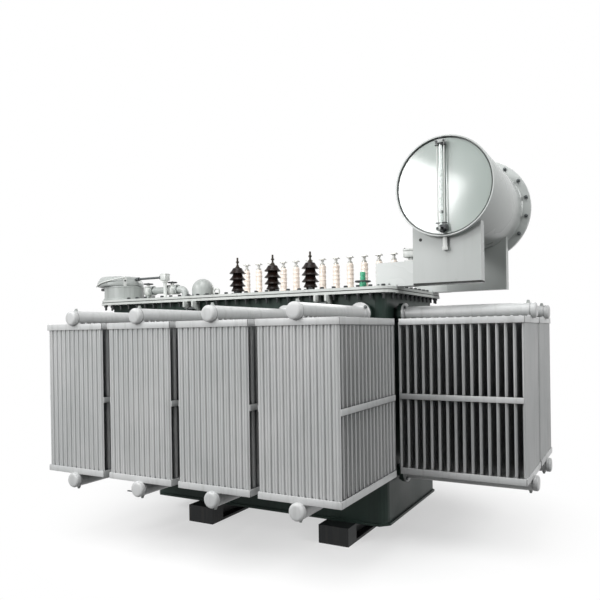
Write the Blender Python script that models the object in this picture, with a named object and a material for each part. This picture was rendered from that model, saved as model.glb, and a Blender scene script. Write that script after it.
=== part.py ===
"""Oil-immersed power transformer with panel radiators and a conservator, in metres, +Z up.

The row's origin is on the floor, under the middle of the transformer's bounding box.
X runs along the tank's long side, towards the conservator. The HV side is at -Y.
Positions below are in the tank's frame, whose origin is on the floor under the tank's middle.
"""
import math

import bmesh
import bpy
from mathutils import Matrix, Vector

# Gap kept between two pieces that touch on the real transformer.
SEAT_GAP = 0.0003
# Depth that one island of a welded piece is sunk into the next.
WELD_OVERLAP = 0.002

# Base skids, which run across the tank.
SKID_HEIGHT = 0.125
SKID_WIDTH = 0.225
SKID_OVERHANG = 0.135
SKID_LEFT_INSET = 0.5685
SKID_RIGHT_INSET = 0.3325
SKID_WEB_RECESS = 0.060
SKID_FLANGE = 0.018
SKID_END_BLOCK = 0.130

# Tank with its bottom plate.
TANK_LENGTH = 2.035
TANK_WIDTH = 1.06
TANK_CORNER_RADIUS = 0.06
TANK_TOP = 1.715
CORNER_STEPS = 4
BOTTOM_PLATE_THICKNESS = 0.016
BOTTOM_PLATE_OVERHANG = 0.012
BOTTOM_PLATE_CHAMFER = 0.057

# Tap changer pocket on the tank's left end.
POCKET_LENGTH = 0.530
POCKET_RECESS = 0.070
POCKET_BOTTOM = 0.750

# Rim flange round the tank and the pocket.
RIM_THICKNESS = 0.018
RIM_SIDE_OVERHANG = 0.055
RIM_LEFT_OVERHANG = 0.112
RIM_RIGHT_OVERHANG = 0.072
RIM_LEFT_RADIUS = 0.160
RIM_RIGHT_RADIUS = 0.090

# Cover, with a dark gasket between it and the rim.
GASKET_THICKNESS = 0.006
GASKET_INSET = 0.014
COVER_THICKNESS = 0.018
COVER_INSET = 0.003

# Panel radiators.
PANEL_WIDTH = 0.520
PANEL_HEIGHT = 1.020
PANEL_BOTTOM = 0.500
PANEL_THICKNESS = 0.020
PANEL_PITCH = 0.0524
PANEL_COUNT = 16
FLUTE_COUNT = 12
FLUTE_MARGIN = 0.012
FLUTE_CREST = 0.020
FLUTE_FLANK = 0.006
FLUTE_DEPTH = 0.009
HEADER_RADIUS = 0.050
HEADER_OFFSET = 0.038
HEADER_REACH = 0.034
CAP_CHAMFER = 0.014
PIPE_SEGMENTS = 12
STRAP_THICKNESS = 0.005
RAIL_HEIGHT = 0.042
RAIL_INSET = 0.0015
MID_STRAP_HEIGHT = 0.036
SIDE_RADIATOR_GAP = 0.064
END_RADIATOR_GAP = 0.060
WALL_TO_PANELS = 0.106
STUB_LENGTH = 0.060
STUB_RADIUS = 0.042
FLANGE_RADIUS = 0.076
FLANGE_THICKNESS = 0.014

# Conservator, an oil drum that lies across the tank's right end.
CONSERVATOR_BEYOND_TANK = 0.4115
CONSERVATOR_Z = 2.366
CONSERVATOR_RADIUS = 0.325
CONSERVATOR_LENGTH = 1.00
END_PLATE_THICKNESS = 0.012
BARREL_LIP_THICKNESS = 0.010
BARREL_LIP_DEPTH = 0.012
FAR_FLANGE_RADIUS = 0.390
FAR_FLANGE_THICKNESS = 0.016
FAR_COVER_THICKNESS = 0.014
BARREL_SEGMENTS = 40

# Saddles, and the brackets on the cover that carry them.
SADDLE_WIDTH = 0.452
SADDLE_THICKNESS = 0.010
SADDLE_NEAR_INSET = 0.050
SADDLE_FAR_INSET = 0.160
SADDLE_WING = 0.085
SADDLE_FOOT = 0.085
BRACKET_HOLD = 0.155
BRACKET_HEIGHT = 0.165
BRACKET_DEPTH = 0.120
BRACKET_LIP = 0.012

# Oil level gauge and drain of the conservator.
GAUGE_OFFSET_X = -0.005
GAUGE_SPAN = 0.550
GAUGE_TUBE_RADIUS = 0.016
GAUGE_STANDOFF = 0.040
GAUGE_BLOCK_WIDTH = 0.072
GAUGE_BLOCK_HEIGHT = 0.050
DRAIN_RADIUS = 0.016
DRAIN_NUT_RADIUS = 0.021
DRAIN_LENGTH = 0.085
DRAIN_NUT_HEIGHT = 0.024
DRAIN_FROM_END = 0.027

# Gas relay in the oil pipe from the cover to the conservator's belly.
RELAY_Y = -0.200
RELAY_PIPE_RADIUS = 0.026
RELAY_FOOT_INSET = 0.1045
RELAY_RISER_OFFSET = 0.141
RELAY_AXIS_Z = 1.880
RELAY_FROM_FOOT = 0.123
RELAY_LENGTH = 0.080
RELAY_WIDTH = 0.090
RELAY_HEIGHT = 0.110
RELAY_FLANGE_RADIUS = 0.044
RELAY_FLANGE_THICKNESS = 0.012
RELAY_NECK_RADIUS = 0.030
RELAY_NECK_HEIGHT = 0.022
RELAY_BOX_LENGTH = 0.104
RELAY_BOX_WIDTH = 0.100
RELAY_BOX_HEIGHT = 0.064

# HV bushings.
HV_PITCH = 0.331
HV_FREE_SHARE = 0.323
HV_EDGE_INSET = 0.235
HV_COUNT = 3
HV_SHED_RADIUS = 0.065
HV_CORE_RADIUS = 0.038
HV_SHED_COUNT = 3
HV_SHED_PITCH = 0.050
HV_SHED_ROOT = 0.015
HV_SHED_EDGE = 0.010
HV_BASE_RADIUS = 0.034
HV_BASE_HEIGHT = 0.066
HV_SKIRT_RADIUS = 0.052
HV_SKIRT_LEVEL = 0.034
HV_STEM_RADIUS = 0.011
HV_STEM_HEIGHT = 0.085
BUSHING_SEGMENTS = 16

# LV bushings, in groups of three on a shared foot plate.
LV_EDGE_INSET = 0.395
LV_CENTRE_X = 0.118
LV_GROUP_PITCH = 0.384
LV_GROUP_COUNT = 4
LV_POST_PITCH = 0.128
LV_PER_GROUP = 3
LV_POST_RADIUS = 0.030
LV_POST_HEIGHT = 0.250
LV_COLLAR_RADIUS = 0.036
LV_COLLAR_HEIGHT = 0.030
LV_FOOT_THICKNESS = 0.012
LV_FOOT_WIDTH = 0.100
LV_STEM_RADIUS = 0.011
LV_STEM_HEIGHT = 0.055

# Tap changer head on the cover's left end, under its hood.
TAP_INSET_X = 0.1775
TAP_INSET_Y = 0.185
TAP_RADIUS = 0.166
TAP_HEIGHT = 0.120
TAP_FLANGE_RADIUS = 0.174
TAP_FLANGE_THICKNESS = 0.016
HOOD_RADIUS = 0.195
HOOD_RIM_HEIGHT = 0.040
HOOD_HEIGHT = 0.088
HOOD_SHOULDER = 0.012
HOOD_TOP_RADIUS = 0.176
HOOD_OFFSET = 0.045
ROUND_SEGMENTS = 32

# Tap changer drive, a gear case on a column, with a shaft into the hood.
SHAFT_RADIUS = 0.010
SHAFT_LEVEL = 0.182
DRIVE_FROM_TAP = 0.470
DRIVE_CASE_SIZE = 0.060
DRIVE_COLUMN_RADIUS = 0.015
DRIVE_FOOT_RADIUS = 0.038
DRIVE_FOOT_THICKNESS = 0.012

# Oil pipe on the cover, with two valves.
OIL_PIPE_EDGE_INSET = 0.255
OIL_PIPE_RADIUS = 0.030
OIL_PIPE_LEVEL = 0.080
OIL_PIPE_FROM_TAP = 0.215
OIL_PIPE_LENGTH = 0.415
OIL_PIPE_FOOT_RADIUS = 0.045
VALVE_PITCH = 0.272
VALVE_RADIUS = 0.040
VALVE_HEIGHT = 0.078
VALVE_STEM_RADIUS = 0.010
VALVE_STEM_HEIGHT = 0.018
VALVE_WHEEL_RADIUS = 0.042
VALVE_WHEEL_THICKNESS = 0.010

# Pressure relief dome.
DOME_FROM_TAP = 0.792
DOME_EDGE_INSET = 0.285
DOME_RADIUS = 0.090
DOME_HEIGHT = 0.158
DOME_FLANGE_RADIUS = 0.112
DOME_FLANGE_THICKNESS = 0.014
DOME_STEPS = 6
DOME_SEGMENTS = 20

# Lifting eye on the cover.
EYE_FROM_DOME = 0.141
EYE_RADIUS = 0.026
EYE_BAR_RADIUS = 0.008
EYE_BAR_SEGMENTS = 8
EYE_FOOT_RADIUS = 0.022
EYE_FOOT_HEIGHT = 0.020

# Filter valve near the cover's right end.
FILTER_END_INSET = 0.2855
FILTER_EDGE_INSET = 0.205
FILTER_FOOT_RADIUS = 0.040
FILTER_BODY_RADIUS = 0.026
FILTER_HEIGHT = 0.120
FILTER_CAP_RADIUS = 0.020
FILTER_WHEEL_LEVEL = 0.046
FILTER_WHEEL_RADIUS = 0.058
FILTER_WHEEL_THICKNESS = 0.013

# Lifting lugs, each two cheeks and a pin under the rim.
LUG_CHEEK_SPACING = 0.085
LUG_CHEEK_THICKNESS = 0.016
LUG_REACH = 0.090
LUG_HEIGHT = 0.090
LUG_TOE = 0.030
LUG_PIN_RADIUS = 0.011
LUG_PIN_REACH = 0.050
LUG_PIN_DROP = 0.062

GASKET_FLOOR = TANK_TOP + SEAT_GAP
COVER_UNDERSIDE = GASKET_FLOOR + GASKET_THICKNESS + SEAT_GAP
COVER_FLOOR = COVER_UNDERSIDE + COVER_THICKNESS + SEAT_GAP
RIM_LEFT = -TANK_LENGTH / 2 - POCKET_LENGTH - RIM_LEFT_OVERHANG
RIM_RIGHT = TANK_LENGTH / 2 + RIM_RIGHT_OVERHANG
RIM_HALF_WIDTH = TANK_WIDTH / 2 + RIM_SIDE_OVERHANG
POCKET_WIDTH = TANK_WIDTH - 2 * POCKET_RECESS
SKID_LENGTH = TANK_WIDTH + 2 * SKID_OVERHANG
SKID_CENTRES_X = (SKID_LEFT_INSET - TANK_LENGTH / 2, TANK_LENGTH / 2 - SKID_RIGHT_INSET)
STUB_MARGIN = TANK_CORNER_RADIUS + FLANGE_RADIUS
SIDE_RADIATOR_PITCH = PANEL_WIDTH + SIDE_RADIATOR_GAP
END_RADIATOR_PITCH = PANEL_WIDTH + END_RADIATOR_GAP
SIDE_RADIATOR_COUNT = 1 + int((TANK_LENGTH - 2 * STUB_MARGIN) / SIDE_RADIATOR_PITCH)
END_RADIATOR_COUNT = 1 + int((TANK_WIDTH - 2 * STUB_MARGIN) / END_RADIATOR_PITCH)
# Lifting lugs stand midway between the two outermost radiators of a long wall.
LUG_OFFSET = (SIDE_RADIATOR_COUNT / 2 - 1) * SIDE_RADIATOR_PITCH
CONSERVATOR_X = TANK_LENGTH / 2 + CONSERVATOR_BEYOND_TANK
SADDLE_POSITIONS_Y = (
    SADDLE_NEAR_INSET - CONSERVATOR_LENGTH / 2,
    CONSERVATOR_LENGTH / 2 - SADDLE_FAR_INSET,
)
BRACKET_START_X = RIM_RIGHT - BRACKET_HOLD
RELAY_FOOT_X = RIM_RIGHT - RELAY_FOOT_INSET
RELAY_RISER_X = CONSERVATOR_X - RELAY_RISER_OFFSET
RELAY_X = RELAY_FOOT_X + RELAY_FROM_FOOT
TAP_X = RIM_LEFT + TAP_INSET_X
TAP_Y = TAP_INSET_Y - RIM_HALF_WIDTH
DRIVE_X = TAP_X + DRIVE_FROM_TAP
OIL_PIPE_X = TAP_X + OIL_PIPE_FROM_TAP
OIL_PIPE_Y = OIL_PIPE_EDGE_INSET - RIM_HALF_WIDTH
DOME_X = TAP_X + DOME_FROM_TAP
DOME_Y = DOME_EDGE_INSET - RIM_HALF_WIDTH
EYE_X = DOME_X + EYE_FROM_DOME
EYE_REACH = EYE_RADIUS + EYE_BAR_RADIUS
FILTER_X = RIM_RIGHT - FILTER_END_INSET
FILTER_Y = FILTER_EDGE_INSET - RIM_HALF_WIDTH
LV_Y = RIM_HALF_WIDTH - LV_EDGE_INSET
# The HV row stands between the lifting eye and the filter valve.
HV_Y = HV_EDGE_INSET - RIM_HALF_WIDTH
HV_ROW_LENGTH = (HV_COUNT - 1) * HV_PITCH + 2 * HV_SHED_RADIUS
HV_FREE_LENGTH = FILTER_X - FILTER_WHEEL_RADIUS - EYE_X - EYE_REACH - HV_ROW_LENGTH
HV_FIRST_X = EYE_X + EYE_REACH + HV_FREE_SHARE * HV_FREE_LENGTH + HV_SHED_RADIUS
PANEL_TOP = PANEL_BOTTOM + PANEL_HEIGHT
HEADER_LEVELS = (PANEL_BOTTOM - HEADER_OFFSET, PANEL_TOP + HEADER_OFFSET)
STACK_DEPTH = (PANEL_COUNT - 1) * PANEL_PITCH + PANEL_THICKNESS
HOOD_X = TAP_X - HOOD_OFFSET
LEFT_REACH = min(RIM_LEFT, HOOD_X - HOOD_RADIUS * math.cos(math.pi / ROUND_SEGMENTS))
RIGHT_REACH = TANK_LENGTH / 2 + WALL_TO_PANELS + STACK_DEPTH + HEADER_REACH
# The tank's middle is moved so that the bounding box is centred on the origin.
TANK_X = -(LEFT_REACH + RIGHT_REACH) / 2


def clear_scene():
    for obj in list(bpy.data.objects):
        bpy.data.objects.remove(obj, do_unlink=True)


def paint(name, colour, roughness, metallic=0.0):
    """Principled material with one colour, made once and found again by its name."""
    material = bpy.data.materials.get(name)
    if material is None:
        material = bpy.data.materials.new(name)
        material.use_nodes = True
        shader = material.node_tree.nodes["Principled BSDF"]
        shader.inputs["Base Color"].default_value = (*colour, 1.0)
        shader.inputs["Roughness"].default_value = roughness
        shader.inputs["Metallic"].default_value = metallic
        material.diffuse_color = (*colour, 1.0)
    return material


def skid_paint():
    return paint("skid_paint", (0.020, 0.020, 0.022), 0.5)


def tank_enamel():
    return paint("tank_enamel", (0.075, 0.100, 0.095), 0.40, 0.1)


def cover_enamel():
    return paint("cover_enamel", (0.50, 0.51, 0.50), 0.40, 0.1)


def gasket_rubber():
    return paint("gasket_rubber", (0.02, 0.02, 0.02), 0.7)


def radiator_enamel():
    return paint("radiator_enamel", (0.50, 0.51, 0.50), 0.38, 0.1)


def conservator_enamel():
    return paint("conservator_enamel", (0.46, 0.49, 0.47), 0.30, 0.1)


def fitting_enamel():
    return paint("fitting_enamel", (0.42, 0.43, 0.43), 0.40, 0.1)


def brown_porcelain():
    return paint("brown_porcelain", (0.045, 0.018, 0.012), 0.12)


def white_porcelain():
    return paint("white_porcelain", (0.75, 0.72, 0.66), 0.15)


def valve_enamel():
    return paint("valve_enamel", (0.06, 0.30, 0.18), 0.4)


def add_object(name, bm, material, smooth=False):
    """Turn a bmesh into a named object, moved from the tank's frame to the row's frame."""
    bmesh.ops.recalc_face_normals(bm, faces=bm.faces)
    bmesh.ops.translate(bm, verts=bm.verts, vec=(TANK_X, 0, 0))
    mesh = bpy.data.meshes.new(name)
    bm.to_mesh(mesh)
    bm.free()
    mesh.materials.append(material)
    if smooth:
        mesh.shade_smooth()
        mesh.set_sharp_from_angle(angle=math.radians(40))
    obj = bpy.data.objects.new(name, mesh)
    bpy.context.scene.collection.objects.link(obj)


def add_island(bm, island, matrix):
    """Place a small bmesh by a matrix and add it to another."""
    bmesh.ops.transform(island, matrix=matrix, verts=island.verts)
    mesh = bpy.data.meshes.new("island")
    island.to_mesh(mesh)
    island.free()
    bm.from_mesh(mesh)
    bpy.data.meshes.remove(mesh)


def add_box(bm, low, high):
    low = Vector(low)
    high = Vector(high)
    matrix = Matrix.Translation((low + high) / 2) @ Matrix.Diagonal((*(high - low), 1))
    bmesh.ops.create_cube(bm, size=1, matrix=matrix)


def add_prism(bm, outline, low, high, matrix=Matrix.Identity(4)):
    """Extrude an XY outline between two heights, then place it by a matrix."""
    island = bmesh.new()
    face = island.faces.new([island.verts.new((x, y, low)) for x, y in outline])
    grown = bmesh.ops.extrude_face_region(island, geom=[face])
    top = [item for item in grown["geom"] if isinstance(item, bmesh.types.BMVert)]
    bmesh.ops.translate(island, verts=top, vec=(0, 0, high - low))
    add_island(bm, island, matrix)


def add_turned(bm, profile, origin, direction, segments):
    """Revolve (distance, radius) points about an axis, with a flat facet on each side of it."""
    island = bmesh.new()
    phase = math.pi / segments
    verts = [
        island.verts.new((radius * math.cos(phase), radius * math.sin(phase), distance))
        for distance, radius in profile
    ]
    edges = [island.edges.new(pair) for pair in zip(verts, verts[1:])]
    bmesh.ops.spin(
        island, geom=verts + edges, axis=(0, 0, 1), cent=(0, 0, 0), angle=2 * math.pi,
        steps=segments, use_merge=True,
    )
    bmesh.ops.remove_doubles(island, verts=island.verts, dist=1e-6)
    turn = Vector((0, 0, 1)).rotation_difference(Vector(direction)).to_matrix().to_4x4()
    add_island(bm, island, Matrix.Translation(origin) @ turn)


def rod(length, radius):
    """Profile of a plain rod."""
    return [(0, 0), (0, radius), (length, radius), (length, 0)]


def stepped(*steps):
    """Profile of stacked cylinders, each given as (height of its top, radius)."""
    profile = [(0, 0)]
    floor = 0
    for top, radius in steps:
        profile += [(floor, radius), (top, radius)]
        floor = top
    return profile + [(floor, 0)]


def rounded_outline(left, right, half_width, left_radius, right_radius, steps=CORNER_STEPS):
    """Rectangle in XY with round corners, symmetric about y = 0."""
    corners = (
        (right - right_radius, half_width - right_radius, 0, right_radius),
        (left + left_radius, half_width - left_radius, 90, left_radius),
        (left + left_radius, left_radius - half_width, 180, left_radius),
        (right - right_radius, right_radius - half_width, 270, right_radius),
    )
    points = []
    for x, y, start, radius in corners:
        for step in range(steps + 1):
            angle = math.radians(start + 90 * step / steps)
            points.append((x + radius * math.cos(angle), y + radius * math.sin(angle)))
    return points


def boolean(base, tool, operation="UNION"):
    """Exact boolean of two bmeshes; both are freed and a new one comes back."""
    objects = []
    for bm in (base, tool):
        bmesh.ops.recalc_face_normals(bm, faces=bm.faces)
        mesh = bpy.data.meshes.new("operand")
        bm.to_mesh(mesh)
        bm.free()
        obj = bpy.data.objects.new("operand", mesh)
        bpy.context.scene.collection.objects.link(obj)
        objects.append(obj)
    modifier = objects[0].modifiers.new("join", "BOOLEAN")
    modifier.operation = operation
    modifier.solver = "EXACT"
    modifier.use_self = True
    modifier.object = objects[1]
    graph = bpy.context.evaluated_depsgraph_get()
    result = bmesh.new()
    result.from_mesh(objects[0].evaluated_get(graph).to_mesh())
    for obj in objects:
        mesh = obj.data
        bpy.data.objects.remove(obj, do_unlink=True)
        bpy.data.meshes.remove(mesh)
    bmesh.ops.remove_doubles(result, verts=result.verts, dist=1e-6)
    bmesh.ops.dissolve_limit(
        result, angle_limit=math.radians(0.1), verts=result.verts, edges=result.edges
    )
    return result


def copied(source, matrix):
    bm = source.copy()
    bmesh.ops.transform(bm, matrix=matrix, verts=bm.verts)
    return bm


def add_flutes(bm, front):
    """Pressed oil channels of the outermost panel, which run up between its two rails."""
    valley = front + FLUTE_DEPTH
    back = front + (FLUTE_DEPTH + PANEL_THICKNESS) / 2
    edge = PANEL_WIDTH / 2 - FLUTE_MARGIN
    pitch = 2 * edge / FLUTE_COUNT
    outline = [(-edge, back), (-edge, valley)]
    for number in range(FLUTE_COUNT):
        crest = -edge + number * pitch + (pitch - FLUTE_CREST) / 2
        outline += [
            (crest - FLUTE_FLANK, valley),
            (crest, front),
            (crest + FLUTE_CREST, front),
            (crest + FLUTE_CREST + FLUTE_FLANK, valley),
        ]
    outline += [(edge, valley), (edge, back)]
    add_prism(bm, outline, PANEL_BOTTOM + RAIL_HEIGHT / 2, PANEL_TOP - RAIL_HEIGHT / 2)


def add_straps(bm, nearest, furthest):
    """Top and bottom rails round three sides of the stack, and a tie strap at mid height."""
    outer = PANEL_WIDTH / 2 + STRAP_THICKNESS
    inner = PANEL_WIDTH / 2 - WELD_OVERLAP
    front = furthest - STRAP_THICKNESS
    sunk = furthest + FLUTE_DEPTH + 2 * WELD_OVERLAP
    back = nearest - PANEL_THICKNESS / 2
    outline = [
        (-outer, back), (-outer, front), (outer, front), (outer, back),
        (inner, back), (inner, sunk), (-inner, sunk), (-inner, back),
    ]
    add_prism(bm, outline, PANEL_BOTTOM + RAIL_INSET, PANEL_BOTTOM + RAIL_HEIGHT)
    add_prism(bm, outline, PANEL_TOP - RAIL_HEIGHT, PANEL_TOP - RAIL_INSET)
    middle = (PANEL_BOTTOM + PANEL_TOP) / 2
    start = furthest + (FLUTE_DEPTH + PANEL_THICKNESS) / 2
    for side in (-1, 1):
        edges = sorted((side * inner, side * outer))
        add_box(
            bm,
            (edges[0], start, middle - MID_STRAP_HEIGHT / 2),
            (edges[1], back, middle + MID_STRAP_HEIGHT / 2),
        )


def radiator_mesh():
    """Panel radiator in its own frame: tank wall at y = 0, panels stacked towards -Y, mid at x = 0.

    The first and last panels are welded to the straps. Those between are narrower by a hair,
    so that the straps pass clear of their edges.
    """
    half = PANEL_WIDTH / 2
    nearest = -WALL_TO_PANELS
    furthest = nearest - STACK_DEPTH
    panels = bmesh.new()
    add_box(panels, (-half, nearest - PANEL_THICKNESS, PANEL_BOTTOM), (half, nearest, PANEL_TOP))
    clear = half - WELD_OVERLAP - SEAT_GAP
    for number in range(1, PANEL_COUNT - 1):
        y = nearest - number * PANEL_PITCH
        add_box(panels, (-clear, y - PANEL_THICKNESS, PANEL_BOTTOM), (clear, y, PANEL_TOP))
    add_box(
        panels,
        (-half, furthest + FLUTE_DEPTH + WELD_OVERLAP, PANEL_BOTTOM),
        (half, furthest + PANEL_THICKNESS, PANEL_TOP),
    )
    frame = bmesh.new()
    add_flutes(frame, furthest)
    add_straps(frame, nearest, furthest)
    seat = -STUB_LENGTH - SEAT_GAP
    length = seat - furthest + HEADER_REACH
    profile = [
        (0, 0),
        (0, FLANGE_RADIUS),
        (FLANGE_THICKNESS, FLANGE_RADIUS),
        (FLANGE_THICKNESS, HEADER_RADIUS),
        (length - CAP_CHAMFER, HEADER_RADIUS),
        (length, HEADER_RADIUS - CAP_CHAMFER),
        (length, 0),
    ]
    for z in HEADER_LEVELS:
        add_turned(frame, profile, (0, seat, z), (0, -1, 0), PIPE_SEGMENTS)
    return boolean(panels, frame)


def radiator_places():
    """Name and placing matrix of every radiator, in the tank's frame."""
    places = []
    for side, wall, turn in (("front", -TANK_WIDTH / 2, 0), ("back", TANK_WIDTH / 2, 180)):
        for number in range(SIDE_RADIATOR_COUNT):
            x = (number - (SIDE_RADIATOR_COUNT - 1) / 2) * SIDE_RADIATOR_PITCH
            matrix = Matrix.Translation((x, wall, 0)) @ Matrix.Rotation(math.radians(turn), 4, "Z")
            places.append((f"radiator_{side}_{number + 1}", matrix))
    for number in range(END_RADIATOR_COUNT):
        y = (number - (END_RADIATOR_COUNT - 1) / 2) * END_RADIATOR_PITCH
        matrix = Matrix.Translation((TANK_LENGTH / 2, y, 0)) @ Matrix.Rotation(math.radians(90), 4, "Z")
        places.append((f"radiator_end_{number + 1}", matrix))
    return places


def build_radiators():
    mesh = radiator_mesh()
    for name, matrix in radiator_places():
        add_object(name, copied(mesh, matrix), radiator_enamel(), smooth=True)
    mesh.free()


def add_radiator_stubs(bm):
    """Pipe stubs with flanged shut-off discs, welded to the tank wall for each radiator."""
    reach = STUB_LENGTH + WELD_OVERLAP
    profile = stepped((reach - 2 * FLANGE_THICKNESS, STUB_RADIUS), (reach, FLANGE_RADIUS))
    for _, matrix in radiator_places():
        outward = matrix.to_3x3() @ Vector((0, -1, 0))
        for z in HEADER_LEVELS:
            add_turned(bm, profile, matrix @ Vector((0, WELD_OVERLAP, z)), outward, PIPE_SEGMENTS)


def tank_outline(grown, radius, steps=CORNER_STEPS):
    """Tank's outline, moved outwards by a distance."""
    half = TANK_LENGTH / 2 + grown
    return rounded_outline(-half, half, TANK_WIDTH / 2 + grown, radius, radius, steps)


def build_tank():
    floor = SKID_HEIGHT + SEAT_GAP
    shell = bmesh.new()
    add_prism(shell, tank_outline(0, TANK_CORNER_RADIUS), floor + WELD_OVERLAP, TANK_TOP)
    fittings = bmesh.new()
    outline = tank_outline(BOTTOM_PLATE_OVERHANG, BOTTOM_PLATE_CHAMFER, steps=1)
    add_prism(fittings, outline, floor, floor + BOTTOM_PLATE_THICKNESS)
    add_radiator_stubs(fittings)
    add_object("tank_body", boolean(shell, fittings), tank_enamel())


def build_pocket():
    right = -TANK_LENGTH / 2 - SEAT_GAP
    bm = bmesh.new()
    add_box(
        bm,
        (right - POCKET_LENGTH, -POCKET_WIDTH / 2, POCKET_BOTTOM),
        (right, POCKET_WIDTH / 2, TANK_TOP),
    )
    add_object("tap_changer_pocket", bm, tank_enamel())


def add_cover_plate(bm, inset, low, high):
    """Plate with the rim's outline, pulled in by a distance."""
    outline = rounded_outline(
        RIM_LEFT + inset, RIM_RIGHT - inset, RIM_HALF_WIDTH - inset, RIM_LEFT_RADIUS, RIM_RIGHT_RADIUS
    )
    add_prism(bm, outline, low, high)


def build_rim():
    """Rim flange, open where the tank and the pocket stand in it."""
    plate = bmesh.new()
    add_cover_plate(plate, 0, TANK_TOP - RIM_THICKNESS, TANK_TOP)
    low = TANK_TOP - 2 * RIM_THICKNESS
    high = TANK_TOP + RIM_THICKNESS
    mouth = bmesh.new()
    add_prism(mouth, tank_outline(SEAT_GAP, TANK_CORNER_RADIUS), low, high)
    pocket = bmesh.new()
    pocket_end = -TANK_LENGTH / 2 - 2 * SEAT_GAP - POCKET_LENGTH
    pocket_half = POCKET_WIDTH / 2 + SEAT_GAP
    add_box(pocket, (pocket_end, -pocket_half, low), (0, pocket_half, high))
    plate = boolean(plate, mouth, "DIFFERENCE")
    add_object("tank_rim_flange", boolean(plate, pocket, "DIFFERENCE"), cover_enamel())


def build_cover():
    gasket = bmesh.new()
    add_cover_plate(gasket, GASKET_INSET, GASKET_FLOOR, GASKET_FLOOR + GASKET_THICKNESS)
    add_object("cover_gasket", gasket, gasket_rubber())
    cover = bmesh.new()
    add_cover_plate(cover, COVER_INSET, COVER_UNDERSIDE, COVER_UNDERSIDE + COVER_THICKNESS)
    add_object("tank_cover", cover, cover_enamel())


def build_skids():
    """Welded I-section beams, boxed in at both ends."""
    half = SKID_LENGTH / 2
    for number, x in enumerate(SKID_CENTRES_X, start=1):
        left = x - SKID_WIDTH / 2
        right = x + SKID_WIDTH / 2
        beam = bmesh.new()
        add_box(beam, (left, -half, 0), (right, half, SKID_HEIGHT))
        recesses = bmesh.new()
        for side in (left, right):
            add_box(
                recesses,
                (side - SKID_WEB_RECESS, SKID_END_BLOCK - half, SKID_FLANGE),
                (side + SKID_WEB_RECESS, half - SKID_END_BLOCK, SKID_HEIGHT - SKID_FLANGE),
            )
        add_object(f"base_skid_{number}", boolean(beam, recesses, "DIFFERENCE"), skid_paint())


def barrel_bore():
    """Cutter that leaves a seat gap round the conservator's barrel."""
    bm = bmesh.new()
    add_turned(
        bm,
        rod(CONSERVATOR_LENGTH, CONSERVATOR_RADIUS + SEAT_GAP),
        (CONSERVATOR_X, -CONSERVATOR_LENGTH / 2, CONSERVATOR_Z),
        (0, 1, 0),
        BARREL_SEGMENTS,
    )
    return bm


def build_conservator():
    """Barrel with a lip round the near end plate, and a far flange with its bolted cover."""
    barrel_start = -CONSERVATOR_LENGTH / 2
    cover_start = CONSERVATOR_LENGTH / 2 - FAR_COVER_THICKNESS
    length = cover_start - SEAT_GAP - barrel_start
    recess = BARREL_LIP_DEPTH + END_PLATE_THICKNESS + SEAT_GAP
    recess_radius = CONSERVATOR_RADIUS - BARREL_LIP_THICKNESS
    barrel = [
        (recess, 0),
        (recess, recess_radius),
        (0, recess_radius),
        (0, CONSERVATOR_RADIUS),
        (length - FAR_FLANGE_THICKNESS, CONSERVATOR_RADIUS),
        (length - FAR_FLANGE_THICKNESS, FAR_FLANGE_RADIUS),
        (length, FAR_FLANGE_RADIUS),
        (length, 0),
    ]
    plate = rod(END_PLATE_THICKNESS, recess_radius - SEAT_GAP)
    pieces = (
        ("conservator_barrel", barrel_start, barrel),
        ("conservator_end_plate", barrel_start + BARREL_LIP_DEPTH, plate),
        ("conservator_far_cover", cover_start, rod(FAR_COVER_THICKNESS, FAR_FLANGE_RADIUS)),
    )
    for name, start, profile in pieces:
        bm = bmesh.new()
        add_turned(bm, profile, (CONSERVATOR_X, start, CONSERVATOR_Z), (0, 1, 0), BARREL_SEGMENTS)
        add_object(name, bm, conservator_enamel(), smooth=True)


def build_saddle(name, y):
    """Plate cut to the barrel's curve, with a wing on both edges and a foot below."""
    left = CONSERVATOR_X - SADDLE_WIDTH / 2
    right = CONSERVATOR_X + SADDLE_WIDTH / 2
    plate = bmesh.new()
    add_box(plate, (left, y, COVER_FLOOR), (right, y + SADDLE_THICKNESS, CONSERVATOR_Z))
    wings = bmesh.new()
    for edge in (left, right - SADDLE_THICKNESS):
        add_box(wings, (edge, y, COVER_FLOOR), (edge + SADDLE_THICKNESS, y + SADDLE_WING, CONSERVATOR_Z))
    foot = bmesh.new()
    add_box(foot, (left, y, COVER_FLOOR), (right, y + SADDLE_FOOT, COVER_FLOOR + SADDLE_THICKNESS))
    frame = boolean(boolean(plate, wings), foot)
    add_object(
        f"conservator_saddle_{name}", boolean(frame, barrel_bore(), "DIFFERENCE"), conservator_enamel()
    )


def build_bracket(name, y):
    """Box bracket on a base plate on the cover, with its end against the saddle."""
    box = bmesh.new()
    add_box(
        box,
        (BRACKET_START_X, y, COVER_FLOOR),
        (CONSERVATOR_X - SADDLE_WIDTH / 2 - SEAT_GAP, y + BRACKET_DEPTH, COVER_FLOOR + BRACKET_HEIGHT),
    )
    base = bmesh.new()
    add_box(
        base,
        (BRACKET_START_X - BRACKET_LIP, y - BRACKET_LIP, COVER_FLOOR),
        (RIM_RIGHT - COVER_INSET, y + BRACKET_DEPTH + BRACKET_LIP, COVER_FLOOR + BRACKET_LIP),
    )
    add_object(f"conservator_bracket_{name}", boolean(box, base), conservator_enamel())


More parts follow.
